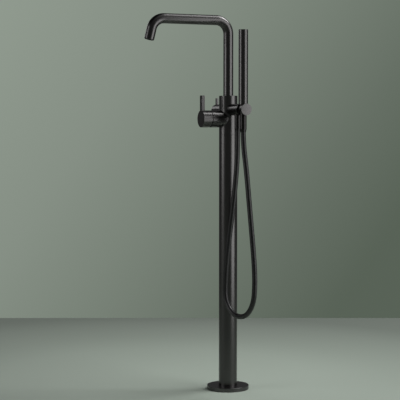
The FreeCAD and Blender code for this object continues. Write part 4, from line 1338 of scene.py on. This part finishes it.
@dataclass
class Studio:
    """The camera, the lamps, the floor with its painted light and the world around them."""

    camera_place: Point = (-1.5259, -3.2271, 0.7253)
    camera_pitch: float = 86.73
    camera_turn: float = -CAMERA_SIDE_DEGREES
    lens: float = 117.4
    sensor: float = 36.0
    painted_light_reach: float = 5.0
    # painted light on the floor: pale near the column, darker out to about a metre, paler again far off
    painted_floor_light: Tones = (
        (0.0, (0.58, 0.67, 0.58)),
        (0.09, (0.52, 0.6, 0.52)),
        (0.135, (0.45, 0.52, 0.45)),
        (0.19, (0.4, 0.46, 0.4)),
        (0.23, (0.34, 0.39, 0.34)),
        (0.34, (0.38, 0.43, 0.38)),
        (0.6, (0.58, 0.65, 0.57)),
        (1.0, (0.85, 0.92, 0.83)),
    )
    floor_back: float = 1.32
    floor_front: float = 10.0
    painted_light_offset: float = 0.2
    floor_roughness: float = 0.8
    camera_side: Point = (-0.4078, -0.9131, 0.0)
    room_tones: Tones = (
        (0.0, (0.08, 0.08, 0.08)),
        (0.36, (0.08, 0.08, 0.08)),
        (0.5, (0.2, 0.2, 0.2)),
        (0.57, (0.4, 0.4, 0.39)),
        (0.68, (0.36, 0.36, 0.35)),
        (0.9, (0.065, 0.065, 0.065)),
    )
    dim_side: Point = (-0.5479, 0.2447, 0.8)
    dim_tones: Tones = (
        (0.8, (1.0, 1.0, 1.0)),
        (0.87, (0.3, 0.3, 0.3)),
        (0.94, (0.05, 0.05, 0.05)),
    )
    # painted shade on the wall that the camera sees: darker towards the lower right
    wall_shade_way: Point = (0.9131, -0.4078, -0.7)
    wall_painted_shade: Tones = (
        (0.39, (0.28, 0.325, 0.275)),
        (0.46, (0.237, 0.275, 0.233)),
        (0.5, (0.197, 0.232, 0.193)),
        (0.56, (0.133, 0.161, 0.13)),
        (0.6, (0.098, 0.123, 0.095)),
    )

    def make(self) -> None:
        """Set up everything around the object."""
        self.camera()
        self.floor()
        self.world()
        for lamp in self.lamps():
            lamp.hang()

    def camera(self) -> None:
        """The camera at the photograph's viewing angle."""
        data = bpy.data.cameras.new("camera")
        data.sensor_width = self.sensor
        data.lens = self.lens
        data.clip_end = 100.0
        camera = bpy.data.objects.new("camera", data)
        camera.location = self.camera_place
        camera.rotation_euler = (math.radians(self.camera_pitch), 0.0, math.radians(self.camera_turn))
        bpy.context.scene.collection.objects.link(camera)
        bpy.context.scene.camera = camera

    def floor(self) -> None:
        """A wide floor whose colour is painted light: a pale painted pool round the column that darkens out
        to about a metre, then painted brightening further off; it ends behind the object, where the wall
        begins.
        """
        Bench.clear()
        depth = self.floor_front + self.floor_back
        middle = (self.floor_back - self.floor_front) / 2
        turn = math.radians(self.camera_turn)
        place = (-math.sin(turn) * middle, math.cos(turn) * middle, 0.0)
        bpy.ops.mesh.primitive_plane_add(size=depth, location=place, rotation=(0.0, 0.0, turn))
        floor = bpy.context.object
        floor.name = "floor"
        made = bpy.data.materials.new("floor_with_painted_light")
        made.use_nodes = True
        tree = made.node_tree
        shader = tree.nodes["Principled BSDF"]
        shader.inputs["Roughness"].default_value = self.floor_roughness
        coordinates = add_node(tree, "TexCoord")
        shift = (self.painted_light_offset, middle - self.painted_light_offset, 0.0)
        centre = add_node(tree, "Mapping", {"Location": shift})
        away = add_node(tree, "VectorMath", operation="LENGTH")
        reach = add_node(tree, "MapRange", {"From Max": self.painted_light_reach})
        join = tree.links.new
        join(coordinates.outputs["Object"], centre.inputs["Vector"])
        join(centre.outputs["Vector"], away.inputs[0])
        join(away.outputs["Value"], reach.inputs["Value"])
        tones = self.ramp(tree, reach.outputs["Result"], self.painted_floor_light)
        join(tones, shader.inputs["Base Color"])
        floor.data.materials.append(made)

    def lamps(self) -> list[Lamp]:
        """The softboxes, all but one placed by their direction from the camera's side."""
        return [
            Lamp("key_box", around_camera(108, 46, 1.9, 0.9), (0.0, 0.0, 0.95), (0.8, 0.8), 8.0),
            Lamp("right_box", around_camera(63, 6, 1.2, 0.72), (0.0, 0.0, 0.84), (0.85, 1.5), 1.75),
            Lamp("left_box", around_camera(-73, 12, 2.6, 0.78), (0.0, 0.0, 1.32), (1.25, 1.6), 1.6),
            Lamp("arm_box", (-0.475, 1.68, 1.38), (0.0, -0.05, 0.77), (0.62, 0.5), 1.35),
            Lamp("ceiling_box", around_camera(107, 62, 2.4, 0.75), (0.0, 0.0, 0.85), (1.15, 1.2), 2.7),
        ]

    def world(self) -> None:
        """A wall in view with painted shade that darkens towards the lower right, and a room for the gloss
        that is darker where the camera stands.
        """
        world = bpy.data.worlds.new("studio")
        bpy.context.scene.world = world
        world.use_nodes = True
        tree = world.node_tree
        tree.nodes.clear()
        place = add_node(tree, "TexCoord")
        level = self.ramp(tree, self.across(tree, place, self.camera_side), self.room_tones)
        rise = self.ramp(tree, self.across(tree, place, self.dim_side), self.dim_tones)
        room = add_node(tree, "Mix", {MIX_SHARE: 1.0}, data_type="RGBA", blend_type="MULTIPLY")
        around = add_node(tree, "Background")
        wall = self.ramp(tree, self.across(tree, place, self.wall_shade_way), self.wall_painted_shade)
        seen = add_node(tree, "Background")
        path = add_node(tree, "LightPath")
        mix = add_node(tree, "MixShader")
        out = add_node(tree, "OutputWorld")
        join = tree.links.new
        join(level, room.inputs[MIX_FIRST])
        join(rise, room.inputs[MIX_SECOND])
        join(room.outputs[MIX_RESULT], around.inputs["Color"])
        join(wall, seen.inputs["Color"])
        join(path.outputs["Is Camera Ray"], mix.inputs[0])
        join(around.outputs[0], mix.inputs[1])
        join(seen.outputs[0], mix.inputs[2])
        join(mix.outputs[0], out.inputs["Surface"])

    @staticmethod
    def across(tree: Tree, place: Node, way: Point) -> Socket:
        """How far a direction of the room points along one way, from 0 to 1.

        Args:
            tree: The world's nodes.
            place: The coordinates.
            way: The way to measure along.

        Returns:
            The socket with the measure.
        """
        dot = add_node(tree, "VectorMath", {1: way}, operation="DOT_PRODUCT")
        half = add_node(tree, "Math", {1: 0.5, 2: 0.5}, operation="MULTIPLY_ADD")
        tree.links.new(place.outputs["Generated"], dot.inputs[0])
        tree.links.new(dot.outputs["Value"], half.inputs[0])
        return half.outputs[0]

    @staticmethod
    def ramp(tree: Tree, measure: Socket, tones: Tones) -> Socket:
        """A soft run of tones along a measure.

        Args:
            tree: The nodes to add it to.
            measure: The socket to read.
            tones: (measure, colour) pairs in order.

        Returns:
            The socket with the colour.
        """
        node = tree.nodes.new("ShaderNodeValToRGB")
        node.color_ramp.interpolation = "LINEAR"
        stops = node.color_ramp.elements
        while len(stops) < len(tones):
            stops.new(0.5)
        for stop, (position, _) in zip(stops, tones):
            stop.position = position
        for stop, (_, colour) in zip(stops, tones):
            stop.color = (*colour, 1.0)
        tree.links.new(measure, node.inputs["Fac"])
        return node.outputs["Color"]


def main() -> None:
    """Load the frame, build every sub-assembly and set up the studio."""
    logging.basicConfig(level=logging.INFO, format="%(name)s: %(message)s")
    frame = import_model()
    bpy.context.scene.view_settings.view_transform = "Standard"
    Studio().make()
    for assembly in (Hose, Column, MixerLever, Arm, HandShower, Diverter, Spout):
        assembly(frame).make()


if __name__ == "__main__":
    main()
